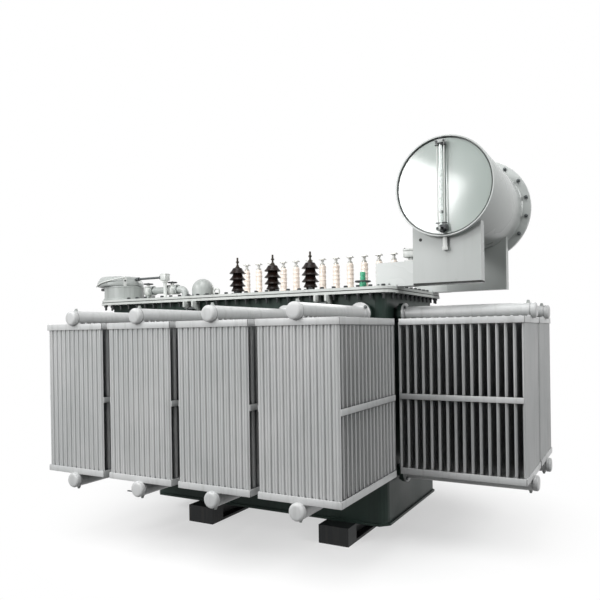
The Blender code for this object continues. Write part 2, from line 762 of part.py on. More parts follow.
def build_gauge():
    """Tubular oil level gauge between two blocks on the near end plate."""
    face = BARREL_LIP_DEPTH - CONSERVATOR_LENGTH / 2 - SEAT_GAP
    x = CONSERVATOR_X + GAUGE_OFFSET_X
    blocks = bmesh.new()
    for z in (CONSERVATOR_Z - GAUGE_SPAN / 2, CONSERVATOR_Z + GAUGE_SPAN / 2):
        add_box(
            blocks,
            (
                x - GAUGE_BLOCK_WIDTH / 2,
                face - GAUGE_STANDOFF - GAUGE_TUBE_RADIUS,
                z - GAUGE_BLOCK_HEIGHT / 2,
            ),
            (x + GAUGE_BLOCK_WIDTH / 2, face, z + GAUGE_BLOCK_HEIGHT / 2),
        )
    tube = bmesh.new()
    foot = (x, face - GAUGE_STANDOFF + WELD_OVERLAP, CONSERVATOR_Z - GAUGE_SPAN / 2)
    add_turned(tube, rod(GAUGE_SPAN, GAUGE_TUBE_RADIUS), foot, (0, 0, 1), PIPE_SEGMENTS)
    add_object("oil_level_gauge", boolean(blocks, tube), fitting_enamel())


def build_drain():
    """Drain stub under the barrel, just behind the near end plate."""
    y = -CONSERVATOR_LENGTH / 2 + DRAIN_FROM_END
    belly = CONSERVATOR_Z - CONSERVATOR_RADIUS * math.cos(math.pi / BARREL_SEGMENTS)
    profile = stepped((DRAIN_LENGTH - DRAIN_NUT_HEIGHT, DRAIN_RADIUS), (DRAIN_LENGTH, DRAIN_NUT_RADIUS))
    bm = bmesh.new()
    add_turned(bm, profile, (CONSERVATOR_X, y, belly - SEAT_GAP), (0, 0, -1), PIPE_SEGMENTS)
    add_object("conservator_drain", bm, fitting_enamel())


def build_gas_relay():
    """Relay with its terminal box, in the oil pipe that climbs from the cover to the barrel."""
    corner = RELAY_PIPE_RADIUS - WELD_OVERLAP
    foot = bmesh.new()
    add_turned(
        foot,
        rod(RELAY_AXIS_Z + corner - COVER_FLOOR, RELAY_PIPE_RADIUS),
        (RELAY_FOOT_X, RELAY_Y, COVER_FLOOR),
        (0, 0, 1),
        PIPE_SEGMENTS,
    )
    riser = bmesh.new()
    add_turned(
        riser,
        rod(CONSERVATOR_Z - RELAY_AXIS_Z, RELAY_PIPE_RADIUS),
        (RELAY_RISER_X, RELAY_Y, RELAY_AXIS_Z - corner),
        (0, 0, 1),
        PIPE_SEGMENTS,
    )
    run = bmesh.new()
    add_turned(
        run,
        rod(RELAY_RISER_X - RELAY_FOOT_X, RELAY_PIPE_RADIUS - 2 * WELD_OVERLAP),
        (RELAY_FOOT_X, RELAY_Y, RELAY_AXIS_Z),
        (1, 0, 0),
        PIPE_SEGMENTS,
    )
    body = bmesh.new()
    add_box(
        body,
        (RELAY_X - RELAY_LENGTH / 2, RELAY_Y - RELAY_WIDTH / 2, RELAY_AXIS_Z - RELAY_HEIGHT / 2),
        (RELAY_X + RELAY_LENGTH / 2, RELAY_Y + RELAY_WIDTH / 2, RELAY_AXIS_Z + RELAY_HEIGHT / 2),
    )
    start = RELAY_X - RELAY_LENGTH / 2 - RELAY_FLANGE_THICKNESS
    flanges = bmesh.new()
    add_turned(
        flanges,
        rod(RELAY_LENGTH + 2 * RELAY_FLANGE_THICKNESS, RELAY_FLANGE_RADIUS),
        (start, RELAY_Y, RELAY_AXIS_Z),
        (1, 0, 0),
        PIPE_SEGMENTS,
    )
    body_top = RELAY_AXIS_Z + RELAY_HEIGHT / 2
    neck = bmesh.new()
    add_turned(
        neck,
        rod(RELAY_NECK_HEIGHT + 2 * WELD_OVERLAP, RELAY_NECK_RADIUS),
        (RELAY_X, RELAY_Y, body_top - WELD_OVERLAP),
        (0, 0, 1),
        PIPE_SEGMENTS,
    )
    box = bmesh.new()
    floor = body_top + RELAY_NECK_HEIGHT
    add_box(
        box,
        (RELAY_X - RELAY_BOX_LENGTH / 2, RELAY_Y - RELAY_BOX_WIDTH / 2, floor),
        (RELAY_X + RELAY_BOX_LENGTH / 2, RELAY_Y + RELAY_BOX_WIDTH / 2, floor + RELAY_BOX_HEIGHT),
    )
    bm = foot
    for piece in (riser, run, body, flanges, neck, box):
        bm = boolean(bm, piece)
    add_object("gas_relay", boolean(bm, barrel_bore(), "DIFFERENCE"), fitting_enamel())


def hv_profile():
    """Foot with a short skirt, umbrella sheds and terminal stud of an HV bushing, from the cover up."""
    profile = [
        (0, 0),
        (0, HV_BASE_RADIUS),
        (HV_SKIRT_LEVEL, HV_BASE_RADIUS),
        (HV_SKIRT_LEVEL, HV_SKIRT_RADIUS),
        (HV_BASE_HEIGHT, HV_CORE_RADIUS),
    ]
    for number in range(HV_SHED_COUNT):
        foot = HV_BASE_HEIGHT + number * HV_SHED_PITCH
        profile += [
            (foot + HV_SHED_ROOT, HV_CORE_RADIUS),
            (foot + HV_SHED_EDGE, HV_SHED_RADIUS),
            (foot + HV_SHED_PITCH, HV_CORE_RADIUS),
        ]
    top = HV_BASE_HEIGHT + HV_SHED_COUNT * HV_SHED_PITCH
    stud_top = top + HV_STEM_HEIGHT
    return profile + [(top, HV_STEM_RADIUS), (stud_top, HV_STEM_RADIUS), (stud_top, 0)]


def build_hv_bushings():
    for number in range(HV_COUNT):
        x = HV_FIRST_X + number * HV_PITCH
        bm = bmesh.new()
        add_turned(bm, hv_profile(), (x, HV_Y, COVER_FLOOR), (0, 0, 1), BUSHING_SEGMENTS)
        add_object(f"hv_bushing_{number + 1}", bm, brown_porcelain(), smooth=True)


def build_lv_bushings():
    span = (LV_PER_GROUP - 1) * LV_POST_PITCH
    sink = LV_FOOT_THICKNESS - WELD_OVERLAP
    profile = stepped(
        (WELD_OVERLAP + LV_COLLAR_HEIGHT, LV_COLLAR_RADIUS),
        (WELD_OVERLAP + LV_POST_HEIGHT, LV_POST_RADIUS),
        (WELD_OVERLAP + LV_POST_HEIGHT + LV_STEM_HEIGHT, LV_STEM_RADIUS),
    )
    half_length = (span + LV_FOOT_WIDTH) / 2
    half_width = LV_FOOT_WIDTH / 2
    for group in range(LV_GROUP_COUNT):
        centre = LV_CENTRE_X + (group - (LV_GROUP_COUNT - 1) / 2) * LV_GROUP_PITCH
        foot = bmesh.new()
        add_box(
            foot,
            (centre - half_length, LV_Y - half_width, COVER_FLOOR),
            (centre + half_length, LV_Y + half_width, COVER_FLOOR + LV_FOOT_THICKNESS),
        )
        posts = bmesh.new()
        for number in range(LV_PER_GROUP):
            x = centre - span / 2 + number * LV_POST_PITCH
            add_turned(posts, profile, (x, LV_Y, COVER_FLOOR + sink), (0, 0, 1), PIPE_SEGMENTS)
        add_object(f"lv_bushings_{group + 1}", boolean(foot, posts), white_porcelain())


def build_tap_changer():
    head = stepped((TAP_FLANGE_THICKNESS, TAP_FLANGE_RADIUS), (TAP_HEIGHT, TAP_RADIUS))
    bm = bmesh.new()
    add_turned(bm, head, (TAP_X, TAP_Y, COVER_FLOOR), (0, 0, 1), ROUND_SEGMENTS)
    add_object("tap_changer_head", bm, fitting_enamel(), smooth=True)
    hood = [
        (0, 0),
        (0, HOOD_RADIUS),
        (HOOD_RIM_HEIGHT, HOOD_RADIUS),
        (HOOD_RIM_HEIGHT + HOOD_SHOULDER, HOOD_TOP_RADIUS),
        (HOOD_HEIGHT - HOOD_SHOULDER, HOOD_TOP_RADIUS),
        (HOOD_HEIGHT, HOOD_TOP_RADIUS - HOOD_SHOULDER),
        (HOOD_HEIGHT, 0),
    ]
    bm = bmesh.new()
    place = (HOOD_X, TAP_Y, COVER_FLOOR + TAP_HEIGHT + SEAT_GAP)
    add_turned(bm, hood, place, (0, 0, 1), ROUND_SEGMENTS)
    add_object("tap_changer_hood", bm, fitting_enamel(), smooth=True)


def build_tap_drive():
    """Gear case on a column, with the shaft that ends at the hood's side."""
    level = COVER_FLOOR + SHAFT_LEVEL
    half = DRIVE_CASE_SIZE / 2
    column = bmesh.new()
    profile = stepped((DRIVE_FOOT_THICKNESS, DRIVE_FOOT_RADIUS), (SHAFT_LEVEL, DRIVE_COLUMN_RADIUS))
    add_turned(column, profile, (DRIVE_X, TAP_Y, COVER_FLOOR), (0, 0, 1), PIPE_SEGMENTS)
    case = bmesh.new()
    add_box(
        case,
        (DRIVE_X - half, TAP_Y - half, level - half),
        (DRIVE_X + half, TAP_Y + half, level + half),
    )
    start = HOOD_X + HOOD_TOP_RADIUS + SEAT_GAP
    shaft = bmesh.new()
    add_turned(shaft, rod(DRIVE_X - start, SHAFT_RADIUS), (start, TAP_Y, level), (1, 0, 0), PIPE_SEGMENTS)
    add_object("tap_changer_drive", boolean(boolean(column, case), shaft), fitting_enamel())


def build_oil_pipe():
    """Low oil pipe that stands on the cover at both ends, with a valve at its start and one in its run."""
    level = COVER_FLOOR + OIL_PIPE_LEVEL
    start = OIL_PIPE_X
    end = start + OIL_PIPE_LENGTH
    bm = bmesh.new()
    add_turned(bm, rod(end - start, OIL_PIPE_RADIUS), (start, OIL_PIPE_Y, level), (1, 0, 0), PIPE_SEGMENTS)
    fittings = bmesh.new()
    bend = OIL_PIPE_RADIUS - WELD_OVERLAP
    foot = stepped((FLANGE_THICKNESS, OIL_PIPE_FOOT_RADIUS), (OIL_PIPE_LEVEL + bend, bend))
    add_turned(fittings, foot, (end, OIL_PIPE_Y, COVER_FLOOR), (0, 0, 1), PIPE_SEGMENTS)
    under_valve = OIL_PIPE_LEVEL - VALVE_HEIGHT / 2
    stem_top = VALVE_HEIGHT + VALVE_STEM_HEIGHT
    valve = stepped(
        (VALVE_HEIGHT, VALVE_RADIUS),
        (stem_top, VALVE_STEM_RADIUS),
        (stem_top + VALVE_WHEEL_THICKNESS, VALVE_WHEEL_RADIUS),
    )
    for x in (start, start + VALVE_PITCH):
        add_turned(fittings, valve, (x, OIL_PIPE_Y, COVER_FLOOR + under_valve), (0, 0, 1), PIPE_SEGMENTS)
    post = bmesh.new()
    foot = stepped((FLANGE_THICKNESS, OIL_PIPE_FOOT_RADIUS), (under_valve + WELD_OVERLAP, bend))
    add_turned(post, foot, (start, OIL_PIPE_Y, COVER_FLOOR), (0, 0, 1), PIPE_SEGMENTS)
    add_object("cover_oil_pipe", boolean(boolean(bm, fittings), post), fitting_enamel())


def build_dome():
    straight = DOME_HEIGHT - DOME_RADIUS
    profile = [
        (0, 0),
        (0, DOME_FLANGE_RADIUS),
        (DOME_FLANGE_THICKNESS, DOME_FLANGE_RADIUS),
        (DOME_FLANGE_THICKNESS, DOME_RADIUS),
    ]
    for step in range(DOME_STEPS):
        angle = math.radians(90 * step / DOME_STEPS)
        profile.append((straight + DOME_RADIUS * math.sin(angle), DOME_RADIUS * math.cos(angle)))
    profile.append((DOME_HEIGHT, 0))
    bm = bmesh.new()
    add_turned(bm, profile, (DOME_X, DOME_Y, COVER_FLOOR), (0, 0, 1), DOME_SEGMENTS)
    add_object("pressure_relief_dome", bm, fitting_enamel(), smooth=True)


def build_lifting_eye():
    foot = bmesh.new()
    place = Vector((EYE_X, DOME_Y, COVER_FLOOR))
    add_turned(foot, rod(EYE_FOOT_HEIGHT, EYE_FOOT_RADIUS), place, (0, 0, 1), PIPE_SEGMENTS)
    ring = bmesh.new()
    bar = Matrix.Translation((EYE_RADIUS, 0, 0))
    bmesh.ops.create_circle(ring, segments=EYE_BAR_SEGMENTS, radius=EYE_BAR_RADIUS, matrix=bar)
    bmesh.ops.spin(
        ring, geom=ring.verts[:] + ring.edges[:], axis=(0, 1, 0), cent=(0, 0, 0), angle=2 * math.pi,
        steps=BUSHING_SEGMENTS, use_merge=True,
    )
    bmesh.ops.remove_doubles(ring, verts=ring.verts, dist=1e-6)
    lift = Vector((0, 0, EYE_FOOT_HEIGHT + EYE_RADIUS))
    bmesh.ops.translate(ring, verts=ring.verts, vec=place + lift)
    add_object("cover_lifting_eye", boolean(foot, ring), fitting_enamel())


def build_filter_valve():
    profile = stepped(
        (FLANGE_THICKNESS, FILTER_FOOT_RADIUS),
        (FILTER_WHEEL_LEVEL, FILTER_BODY_RADIUS),
        (FILTER_WHEEL_LEVEL + FILTER_WHEEL_THICKNESS, FILTER_WHEEL_RADIUS),
        (FILTER_HEIGHT, FILTER_CAP_RADIUS),
    )
    bm = bmesh.new()
    add_turned(bm, profile, (FILTER_X, FILTER_Y, COVER_FLOOR), (0, 0, 1), BUSHING_SEGMENTS)
    add_object("filter_valve", bm, valve_enamel(), smooth=True)


def build_lifting_lugs():
    """Two cheeks with a cross pin, welded under the rim on each long wall."""
    top = TANK_TOP - RIM_THICKNESS - SEAT_GAP
    # Stands an outline drawn in YZ up across the X axis.
    stand = Matrix(((0, 0, 1, 0), (1, 0, 0, 0), (0, 1, 0, 0), (0, 0, 0, 1)))
    for side, label in ((-1, "front"), (1, "back")):
        wall = side * (TANK_WIDTH / 2 + SEAT_GAP)
        outline = [
            (wall, top - LUG_HEIGHT),
            (wall + side * LUG_TOE, top - LUG_HEIGHT),
            (wall + side * LUG_REACH, top - LUG_HEIGHT / 2),
            (wall + side * LUG_REACH, top),
            (wall, top),
        ]
        for number, x in enumerate((-LUG_OFFSET, LUG_OFFSET), start=1):
            cheeks = bmesh.new()
            start = x - LUG_CHEEK_SPACING / 2
            half = LUG_CHEEK_THICKNESS / 2
            for centre in (start, start + LUG_CHEEK_SPACING):
                add_prism(cheeks, outline, centre - half, centre + half, stand)
            pin = bmesh.new()
            place = (start, wall + side * LUG_PIN_REACH, top - LUG_PIN_DROP)
            add_turned(pin, rod(LUG_CHEEK_SPACING, LUG_PIN_RADIUS), place, (1, 0, 0), PIPE_SEGMENTS)
            add_object(f"lifting_lug_{label}_{number}", boolean(cheeks, pin), cover_enamel())


def main():
    clear_scene()
    build_skids()
    build_tank()
    build_pocket()
    build_rim()
    build_cover()
    build_radiators()
    build_conservator()
    for name, y in zip(("near", "far"), SADDLE_POSITIONS_Y):
        build_saddle(name, y)
        build_bracket(name, y)
    build_gauge()
    build_drain()
    build_gas_relay()
    build_hv_bushings()
    build_lv_bushings()
    build_tap_changer()
    build_tap_drive()
    build_oil_pipe()
    build_dome()
    build_lifting_eye()
    build_filter_valve()
    build_lifting_lugs()


main()
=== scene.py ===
import math

import bmesh
import bpy
from mathutils import Matrix, Quaternion, Vector


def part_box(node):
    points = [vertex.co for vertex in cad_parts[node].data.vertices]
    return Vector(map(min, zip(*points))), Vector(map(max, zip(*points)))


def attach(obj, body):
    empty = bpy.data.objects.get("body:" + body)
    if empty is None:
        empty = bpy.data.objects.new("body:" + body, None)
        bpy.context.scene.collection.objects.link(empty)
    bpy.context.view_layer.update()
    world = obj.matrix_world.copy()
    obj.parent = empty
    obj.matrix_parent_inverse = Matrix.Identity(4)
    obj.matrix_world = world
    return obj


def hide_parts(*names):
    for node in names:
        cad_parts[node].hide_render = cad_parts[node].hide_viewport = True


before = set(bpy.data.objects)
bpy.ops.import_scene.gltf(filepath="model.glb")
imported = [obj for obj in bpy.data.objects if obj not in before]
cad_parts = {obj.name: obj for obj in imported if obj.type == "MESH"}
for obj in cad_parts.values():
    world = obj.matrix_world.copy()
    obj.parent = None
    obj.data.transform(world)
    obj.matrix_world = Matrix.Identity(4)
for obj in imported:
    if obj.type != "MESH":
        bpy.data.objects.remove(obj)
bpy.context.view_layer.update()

# Sizes in metres, and places read from the frame.
COVER_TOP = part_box("tank_cover")[1][2]
RIM_LOW, RIM_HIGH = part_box("tank_rim_flange")
RIM_CORNER_LEFT = 0.160
RIM_CORNER_RIGHT = 0.090
TANK_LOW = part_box("tank_body")[0]
SEAT_GAP = 0.0003
COVER_BOLT_INSET = 0.027
COVER_BOLT_PITCH = 0.092
BOLT_CLEARANCE = 0.012
PANEL_COUNT = 16
PANEL_WIDTH = 0.520
PANEL_PITCH = 0.0524
PANEL_THICKNESS = 0.020
PANEL_LOW = 0.500
PANEL_HIGH = 1.520
FLUTE_COUNT = 12
SEAM_THICKNESS = 0.003
SEAM_MARGIN = 0.003
# One flute across: (share of its pitch, share of the bulge). The end panels' flutes are double.
PLAIN_FLUTE = ((-0.43, 0.0), (-0.33, 0.78), (-0.16, 1.0), (0.16, 1.0), (0.33, 0.78), (0.43, 0.0))
DOUBLE_FLUTE = (
    (-0.42, 0.0), (-0.37, 0.45), (-0.29, 0.86), (-0.20, 1.0), (-0.11, 0.86), (-0.04, 0.45),
    (0.04, 0.45), (0.11, 0.86), (0.20, 1.0), (0.29, 0.86), (0.37, 0.45), (0.42, 0.0),
)
HEADER_LEVELS = (0.462, 1.558)
HEADER_RADIUS = 0.050
HEADER_REACH = 0.034
WALL_TO_PANELS = 0.106
FURTHEST_PANEL = -WALL_TO_PANELS - (PANEL_COUNT - 1) * PANEL_PITCH - PANEL_THICKNESS
JOINT_FROM_WALL = 0.0603
FLANGE_THICKNESS = 0.014
FLANGE_RADIUS = 0.076
FLANGE_BOLT_CIRCLE = 0.0635
STRAP_THICKNESS = 0.005
RAIL_HEIGHT = 0.042
RAIL_SHEET = 0.008
MID_STRAP_HEIGHT = 0.036
DRUM_RADIUS = 0.325
LID_BOLT_CIRCLE = 0.361
LID_BOLT_COUNT = 16
SIDE_RADIATORS = [f"radiator_{side}_{n}" for side in ("front", "back") for n in (1, 2, 3, 4)]
RADIATORS = SIDE_RADIATORS + ["radiator_end_1", "radiator_end_2"]
LUGS = [f"lifting_lug_{side}_{n}" for side in ("front", "back") for n in (1, 2)]
# Where the clamp stands on the hood's rim, in degrees from +X.
CLAMP_TURN = -33
# Noise and cell patterns are given by the millimetres that one blob measures.
PER_METRE = 1000
# Painted shade darkens surfaces that have another one nearer than this.
HOLLOW_REACH = 0.07
# The photograph's camera: its place in metres, its turns in degrees, its lens and sensor in millimetres
# and its shifts as shares of the frame's width.
CAMERA_PLACE = (TANK_LOW[0] + 3.5763, -4.2767, 1.4375)
CAMERA_TURN = 27.6797
CAMERA_DIP = 0.1538
CAMERA_ROLL = -0.8701
CAMERA_LENS = 36.146
CAMERA_SENSOR = 36.0
CAMERA_SHIFT = (-0.0432, 0.0564)


def middle(node):
    """Middle of a CAD node's box."""
    low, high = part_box(node)
    return (Vector(low) + Vector(high)) / 2


def underside(node):
    """Middle of the underside of a CAD node's box."""
    centre = middle(node)
    return centre.x, centre.y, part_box(node)[0][2]


def above(place, height):
    """A place raised by a height."""
    return place[0], place[1], place[2] + height


# Materials.

def linear(text):
    """sRGB hex to linear colour with alpha."""
    parts = [int(text[i:i + 2], 16) / 255 for i in (1, 3, 5)]
    return (*[p / 12.92 if p <= 0.04045 else ((p + 0.055) / 1.055) ** 2.4 for p in parts], 1.0)


def add_node(tree, kind, settings=None, links=None):
    """Add a node, set its properties and unlinked inputs, and link sockets into it."""
    node = tree.nodes.new(kind)
    for key, value in (settings or {}).items():
        if isinstance(key, int) or key in node.inputs:
            node.inputs[key].default_value = value
        else:
            setattr(node, key, value)
    for key, socket in (links or {}).items():
        tree.links.new(socket, node.inputs[key])
    return node


def new_material(name):
    """Material with its tree, its Principled shader and the object's own coordinates."""
    material = bpy.data.materials.new(name)
    material.use_nodes = True
    tree = material.node_tree
    place = add_node(tree, "ShaderNodeTexCoord").outputs["Object"]
    return material, tree, tree.nodes["Principled BSDF"], place


def weathered_enamel(
    name, fresh, faded, grime, sheen, orange_peel=0.05, grime_share=0.35, hollow_shade="#3A3B3A", hollow_shade_share=0.4,
    gloss=0.5,
):
    """Sprayed enamel: orange peel, sun-faded patches, dust washed down in streaks, and painted shade in
    the hollows.

    The eye reads paint over welded steel that has stood outdoors for a season. Sheen is its mean
    roughness and gloss its specular level; a share says how far a colour covers the paint.
    """
    material, tree, shader, place = new_material(name)
    patches = add_node(
        tree, "ShaderNodeTexNoise", {"Scale": PER_METRE / 420, "Detail": 3.0}, {"Vector": place}
    )
    fade = add_node(
        tree, "ShaderNodeMapRange", {"From Min": 0.35, "From Max": 0.65},
        {"Value": patches.outputs["Fac"]},
    )
    paint = add_node(
        tree, "ShaderNodeMix", {"data_type": "RGBA", 6: linear(fresh), 7: linear(faded)},
        {0: fade.outputs["Result"]},
    )
    drawn_out = add_node(tree, "ShaderNodeMapping", {"Scale": (1.0, 1.0, 0.06)}, {"Vector": place})
    runs = add_node(
        tree, "ShaderNodeTexNoise", {"Scale": PER_METRE / 26, "Detail": 4.0},
        {"Vector": drawn_out.outputs["Vector"]},
    )
    streaks = add_node(
        tree, "ShaderNodeMapRange", {"From Min": 0.52, "From Max": 0.75, "To Max": grime_share},
        {"Value": runs.outputs["Fac"]},
    )
    streaked = add_node(
        tree, "ShaderNodeMix", {"data_type": "RGBA", 7: linear(grime)},
        {0: streaks.outputs["Result"], 6: paint.outputs[2]},
    )
    dots = add_node(
        tree, "ShaderNodeTexNoise", {"Scale": PER_METRE / 5, "Detail": 4.0}, {"Vector": place}
    )
    specks = add_node(
        tree, "ShaderNodeMapRange", {"From Min": 0.62, "From Max": 0.72, "To Max": grime_share * 0.7},
        {"Value": dots.outputs["Fac"]},
    )
    specked = add_node(
        tree, "ShaderNodeMix", {"data_type": "RGBA", 7: linear(grime)},
        {0: specks.outputs["Result"], 6: streaked.outputs[2]},
    )
    # Painted shade: an ambient occlusion mask darkens the paint towards the hollow shade colour where
    # other surfaces are near.
    openness = add_node(tree, "ShaderNodeAmbientOcclusion", {"samples": 8, "Distance": HOLLOW_REACH})
    hollow_shade_mask = add_node(
        tree, "ShaderNodeMapRange",
        {"From Min": 0.22, "From Max": 0.56, "To Min": hollow_shade_share, "To Max": 0.0},
        {"Value": openness.outputs["AO"]},
    )
    hollow_shaded = add_node(
        tree, "ShaderNodeMix", {"data_type": "RGBA", 7: linear(hollow_shade)},
        {0: hollow_shade_mask.outputs["Result"], 6: specked.outputs[2]},
    )
    tree.links.new(hollow_shaded.outputs[2], shader.inputs["Base Color"])
    haze = add_node(
        tree, "ShaderNodeTexNoise", {"Scale": PER_METRE / 240, "Detail": 1.0}, {"Vector": place}
    )
    rough = add_node(
        tree, "ShaderNodeMapRange",
        {"From Min": 0.3, "From Max": 0.7, "To Min": sheen - 0.04, "To Max": sheen + 0.06},
        {"Value": haze.outputs["Fac"]},
    )
    tree.links.new(rough.outputs["Result"], shader.inputs["Roughness"])
    peel = add_node(tree, "ShaderNodeTexNoise", {"Scale": PER_METRE / 2.5}, {"Vector": place})
    bump = add_node(
        tree, "ShaderNodeBump", {"Strength": orange_peel, "Distance": 0.0006},
        {"Height": peel.outputs["Fac"]},
    )
    tree.links.new(bump.outputs["Normal"], shader.inputs["Normal"])
    shader.inputs["IOR"].default_value = 1.5
    shader.inputs["Specular IOR Level"].default_value = gloss
    return material


def glazed_porcelain(name, body, pooled, rough, gloss):
    """Fired glaze over clay: glassy and a little darker where it pooled, under a film of dust.

    The eye reads a hard wet-looking skin with crisp highlights on every shed.
    """
    material, tree, shader, place = new_material(name)
    cloud = add_node(
        tree, "ShaderNodeTexNoise", {"Scale": PER_METRE / 30, "Detail": 3.0}, {"Vector": place}
    )
    pool = add_node(
        tree, "ShaderNodeMapRange", {"From Min": 0.35, "From Max": 0.7}, {"Value": cloud.outputs["Fac"]}
    )
    glaze = add_node(
        tree, "ShaderNodeMix", {"data_type": "RGBA", 6: linear(body), 7: linear(pooled)},
        {0: pool.outputs["Result"]},
    )
    tree.links.new(glaze.outputs[2], shader.inputs["Base Color"])
    film = add_node(
        tree, "ShaderNodeTexNoise", {"Scale": PER_METRE / 14, "Detail": 4.0}, {"Vector": place}
    )
    dust = add_node(
        tree, "ShaderNodeMapRange",
        {"From Min": 0.45, "From Max": 0.75, "To Min": rough, "To Max": rough + 0.18},
        {"Value": film.outputs["Fac"]},
    )
    tree.links.new(dust.outputs["Result"], shader.inputs["Roughness"])
    pits = add_node(tree, "ShaderNodeTexNoise", {"Scale": PER_METRE / 3}, {"Vector": place})
    bump = add_node(
        tree, "ShaderNodeBump", {"Strength": 0.06, "Distance": 0.0005}, {"Height": pits.outputs["Fac"]}
    )
    tree.links.new(bump.outputs["Normal"], shader.inputs["Normal"])
    shader.inputs["IOR"].default_value = 1.52
    shader.inputs["Specular IOR Level"].default_value = gloss
    return material


def zinc_plated(name, bright, dull, rough):
    """Zinc, tin or dull brass on bolts and studs: a spangle that dulls unevenly.

    The eye reads small bare metal parts between the painted ones.
    """
    material, tree, shader, place = new_material(name)
    cells = add_node(tree, "ShaderNodeTexVoronoi", {"Scale": PER_METRE / 6}, {"Vector": place})
    share = add_node(
        tree, "ShaderNodeMapRange", {"From Min": 0.1, "From Max": 0.7},
        {"Value": cells.outputs["Distance"]},
    )
    zinc = add_node(
        tree, "ShaderNodeMix", {"data_type": "RGBA", 6: linear(bright), 7: linear(dull)},
        {0: share.outputs["Result"]},
    )
    tree.links.new(zinc.outputs[2], shader.inputs["Base Color"])
    haze = add_node(
        tree, "ShaderNodeTexNoise", {"Scale": PER_METRE / 12, "Detail": 3.0}, {"Vector": place}
    )
    worn = add_node(
        tree, "ShaderNodeMapRange",
        {"From Min": 0.3, "From Max": 0.7, "To Min": rough, "To Max": rough + 0.2},
        {"Value": haze.outputs["Fac"]},
    )
    tree.links.new(worn.outputs["Result"], shader.inputs["Roughness"])
    shader.inputs["Metallic"].default_value = 0.85
    bump = add_node(
        tree, "ShaderNodeBump", {"Strength": 0.1, "Distance": 0.0004},
        {"Height": cells.outputs["Distance"]},
    )
    tree.links.new(bump.outputs["Normal"], shader.inputs["Normal"])
    return material


def cork_rubber(name, body, dusty):
    """Cork-filled nitrile rubber: matt and speckled with pale dust.

    The eye reads the dark sealing line between the rim and the cover.
    """
    material, tree, shader, place = new_material(name)
    crumbs = add_node(
        tree, "ShaderNodeTexNoise", {"Scale": PER_METRE / 4, "Detail": 4.0}, {"Vector": place}
    )
    dust = add_node(
        tree, "ShaderNodeMapRange", {"From Min": 0.5, "From Max": 0.75, "To Max": 0.6},
        {"Value": crumbs.outputs["Fac"]},
    )
    rubber = add_node(
        tree, "ShaderNodeMix", {"data_type": "RGBA", 6: linear(body), 7: linear(dusty)},
        {0: dust.outputs["Result"]},
    )
    tree.links.new(rubber.outputs[2], shader.inputs["Base Color"])
    haze = add_node(tree, "ShaderNodeTexNoise", {"Scale": PER_METRE / 20}, {"Vector": place})
    rough = add_node(
        tree, "ShaderNodeMapRange", {"To Min": 0.6, "To Max": 0.85}, {"Value": haze.outputs["Fac"]}
    )
    tree.links.new(rough.outputs["Result"], shader.inputs["Roughness"])
    bump = add_node(
        tree, "ShaderNodeBump", {"Strength": 0.2, "Distance": 0.0005}, {"Height": crumbs.outputs["Fac"]}
    )
    tree.links.new(bump.outputs["Normal"], shader.inputs["Normal"])
    return material


def gauge_glass(name, clear, filmed):
    """Glass tube in front of pale oil, with a dusty film.

    The eye reads a bright wet line on the conservator's end.
    """
    material, tree, shader, place = new_material(name)
    cloud = add_node(
        tree, "ShaderNodeTexNoise", {"Scale": PER_METRE / 18, "Detail": 3.0}, {"Vector": place}
    )
    film = add_node(
        tree, "ShaderNodeMapRange", {"From Min": 0.4, "From Max": 0.7}, {"Value": cloud.outputs["Fac"]}
    )
    glass = add_node(
        tree, "ShaderNodeMix", {"data_type": "RGBA", 6: linear(clear), 7: linear(filmed)},
        {0: film.outputs["Result"]},
    )
    tree.links.new(glass.outputs[2], shader.inputs["Base Color"])
    haze = add_node(tree, "ShaderNodeTexNoise", {"Scale": PER_METRE / 9}, {"Vector": place})
    rough = add_node(
        tree, "ShaderNodeMapRange", {"To Min": 0.04, "To Max": 0.22}, {"Value": haze.outputs["Fac"]}
    )
    tree.links.new(rough.outputs["Result"], shader.inputs["Roughness"])
    shader.inputs["Coat Weight"].default_value = 0.8
    return material


# The radiator enamel's near-black hollow shade is painted shade that fills the gaps between the panels.
RADIATOR_ENAMEL = weathered_enamel(
    "radiator_grey_enamel", "#BABBBB", "#B0B2B2", "#8E908E", 0.36, hollow_shade="#0A1116", hollow_shade_share=0.98,
    gloss=0.35,
)
CARRIER_ENAMEL = weathered_enamel(
    "saddle_gloss_enamel", "#A9ADAB", "#A4A8A6", "#90948F", 0.30, 0.02, 0.12, "#15191B", 0.7
)
# Painted light: the headers, rails and straps get a paler copy of the radiator's grey enamel, though
# they are the same paint.
HEADER_LIT_ENAMEL = weathered_enamel(
    "header_painted_light_enamel", "#C4C5C5", "#BABCBC", "#90928F", 0.34, hollow_shade="#161D21", hollow_shade_share=0.55
)
TANK_ENAMEL = weathered_enamel(
    "tank_dark_green_enamel", "#2B3833", "#35443E", "#202725", 0.34, hollow_shade="#101513", hollow_shade_share=0.5,
    gloss=0.15,
)
COVER_ENAMEL = weathered_enamel("cover_pale_grey_enamel", "#C8CBC8", "#BCC0BD", "#93968F", 0.38)
DRUM_ENAMEL = weathered_enamel(
    "conservator_gloss_enamel", "#B6BAB8", "#B4B8B6", "#A2A6A3", 0.26, 0.02, 0.06, "#15191B", 0.85
)
PLATE_ENAMEL = weathered_enamel(
    "end_plate_gloss_enamel", "#9BA5A0", "#98A29D", "#87908B", 0.14, 0.01, 0.05
)
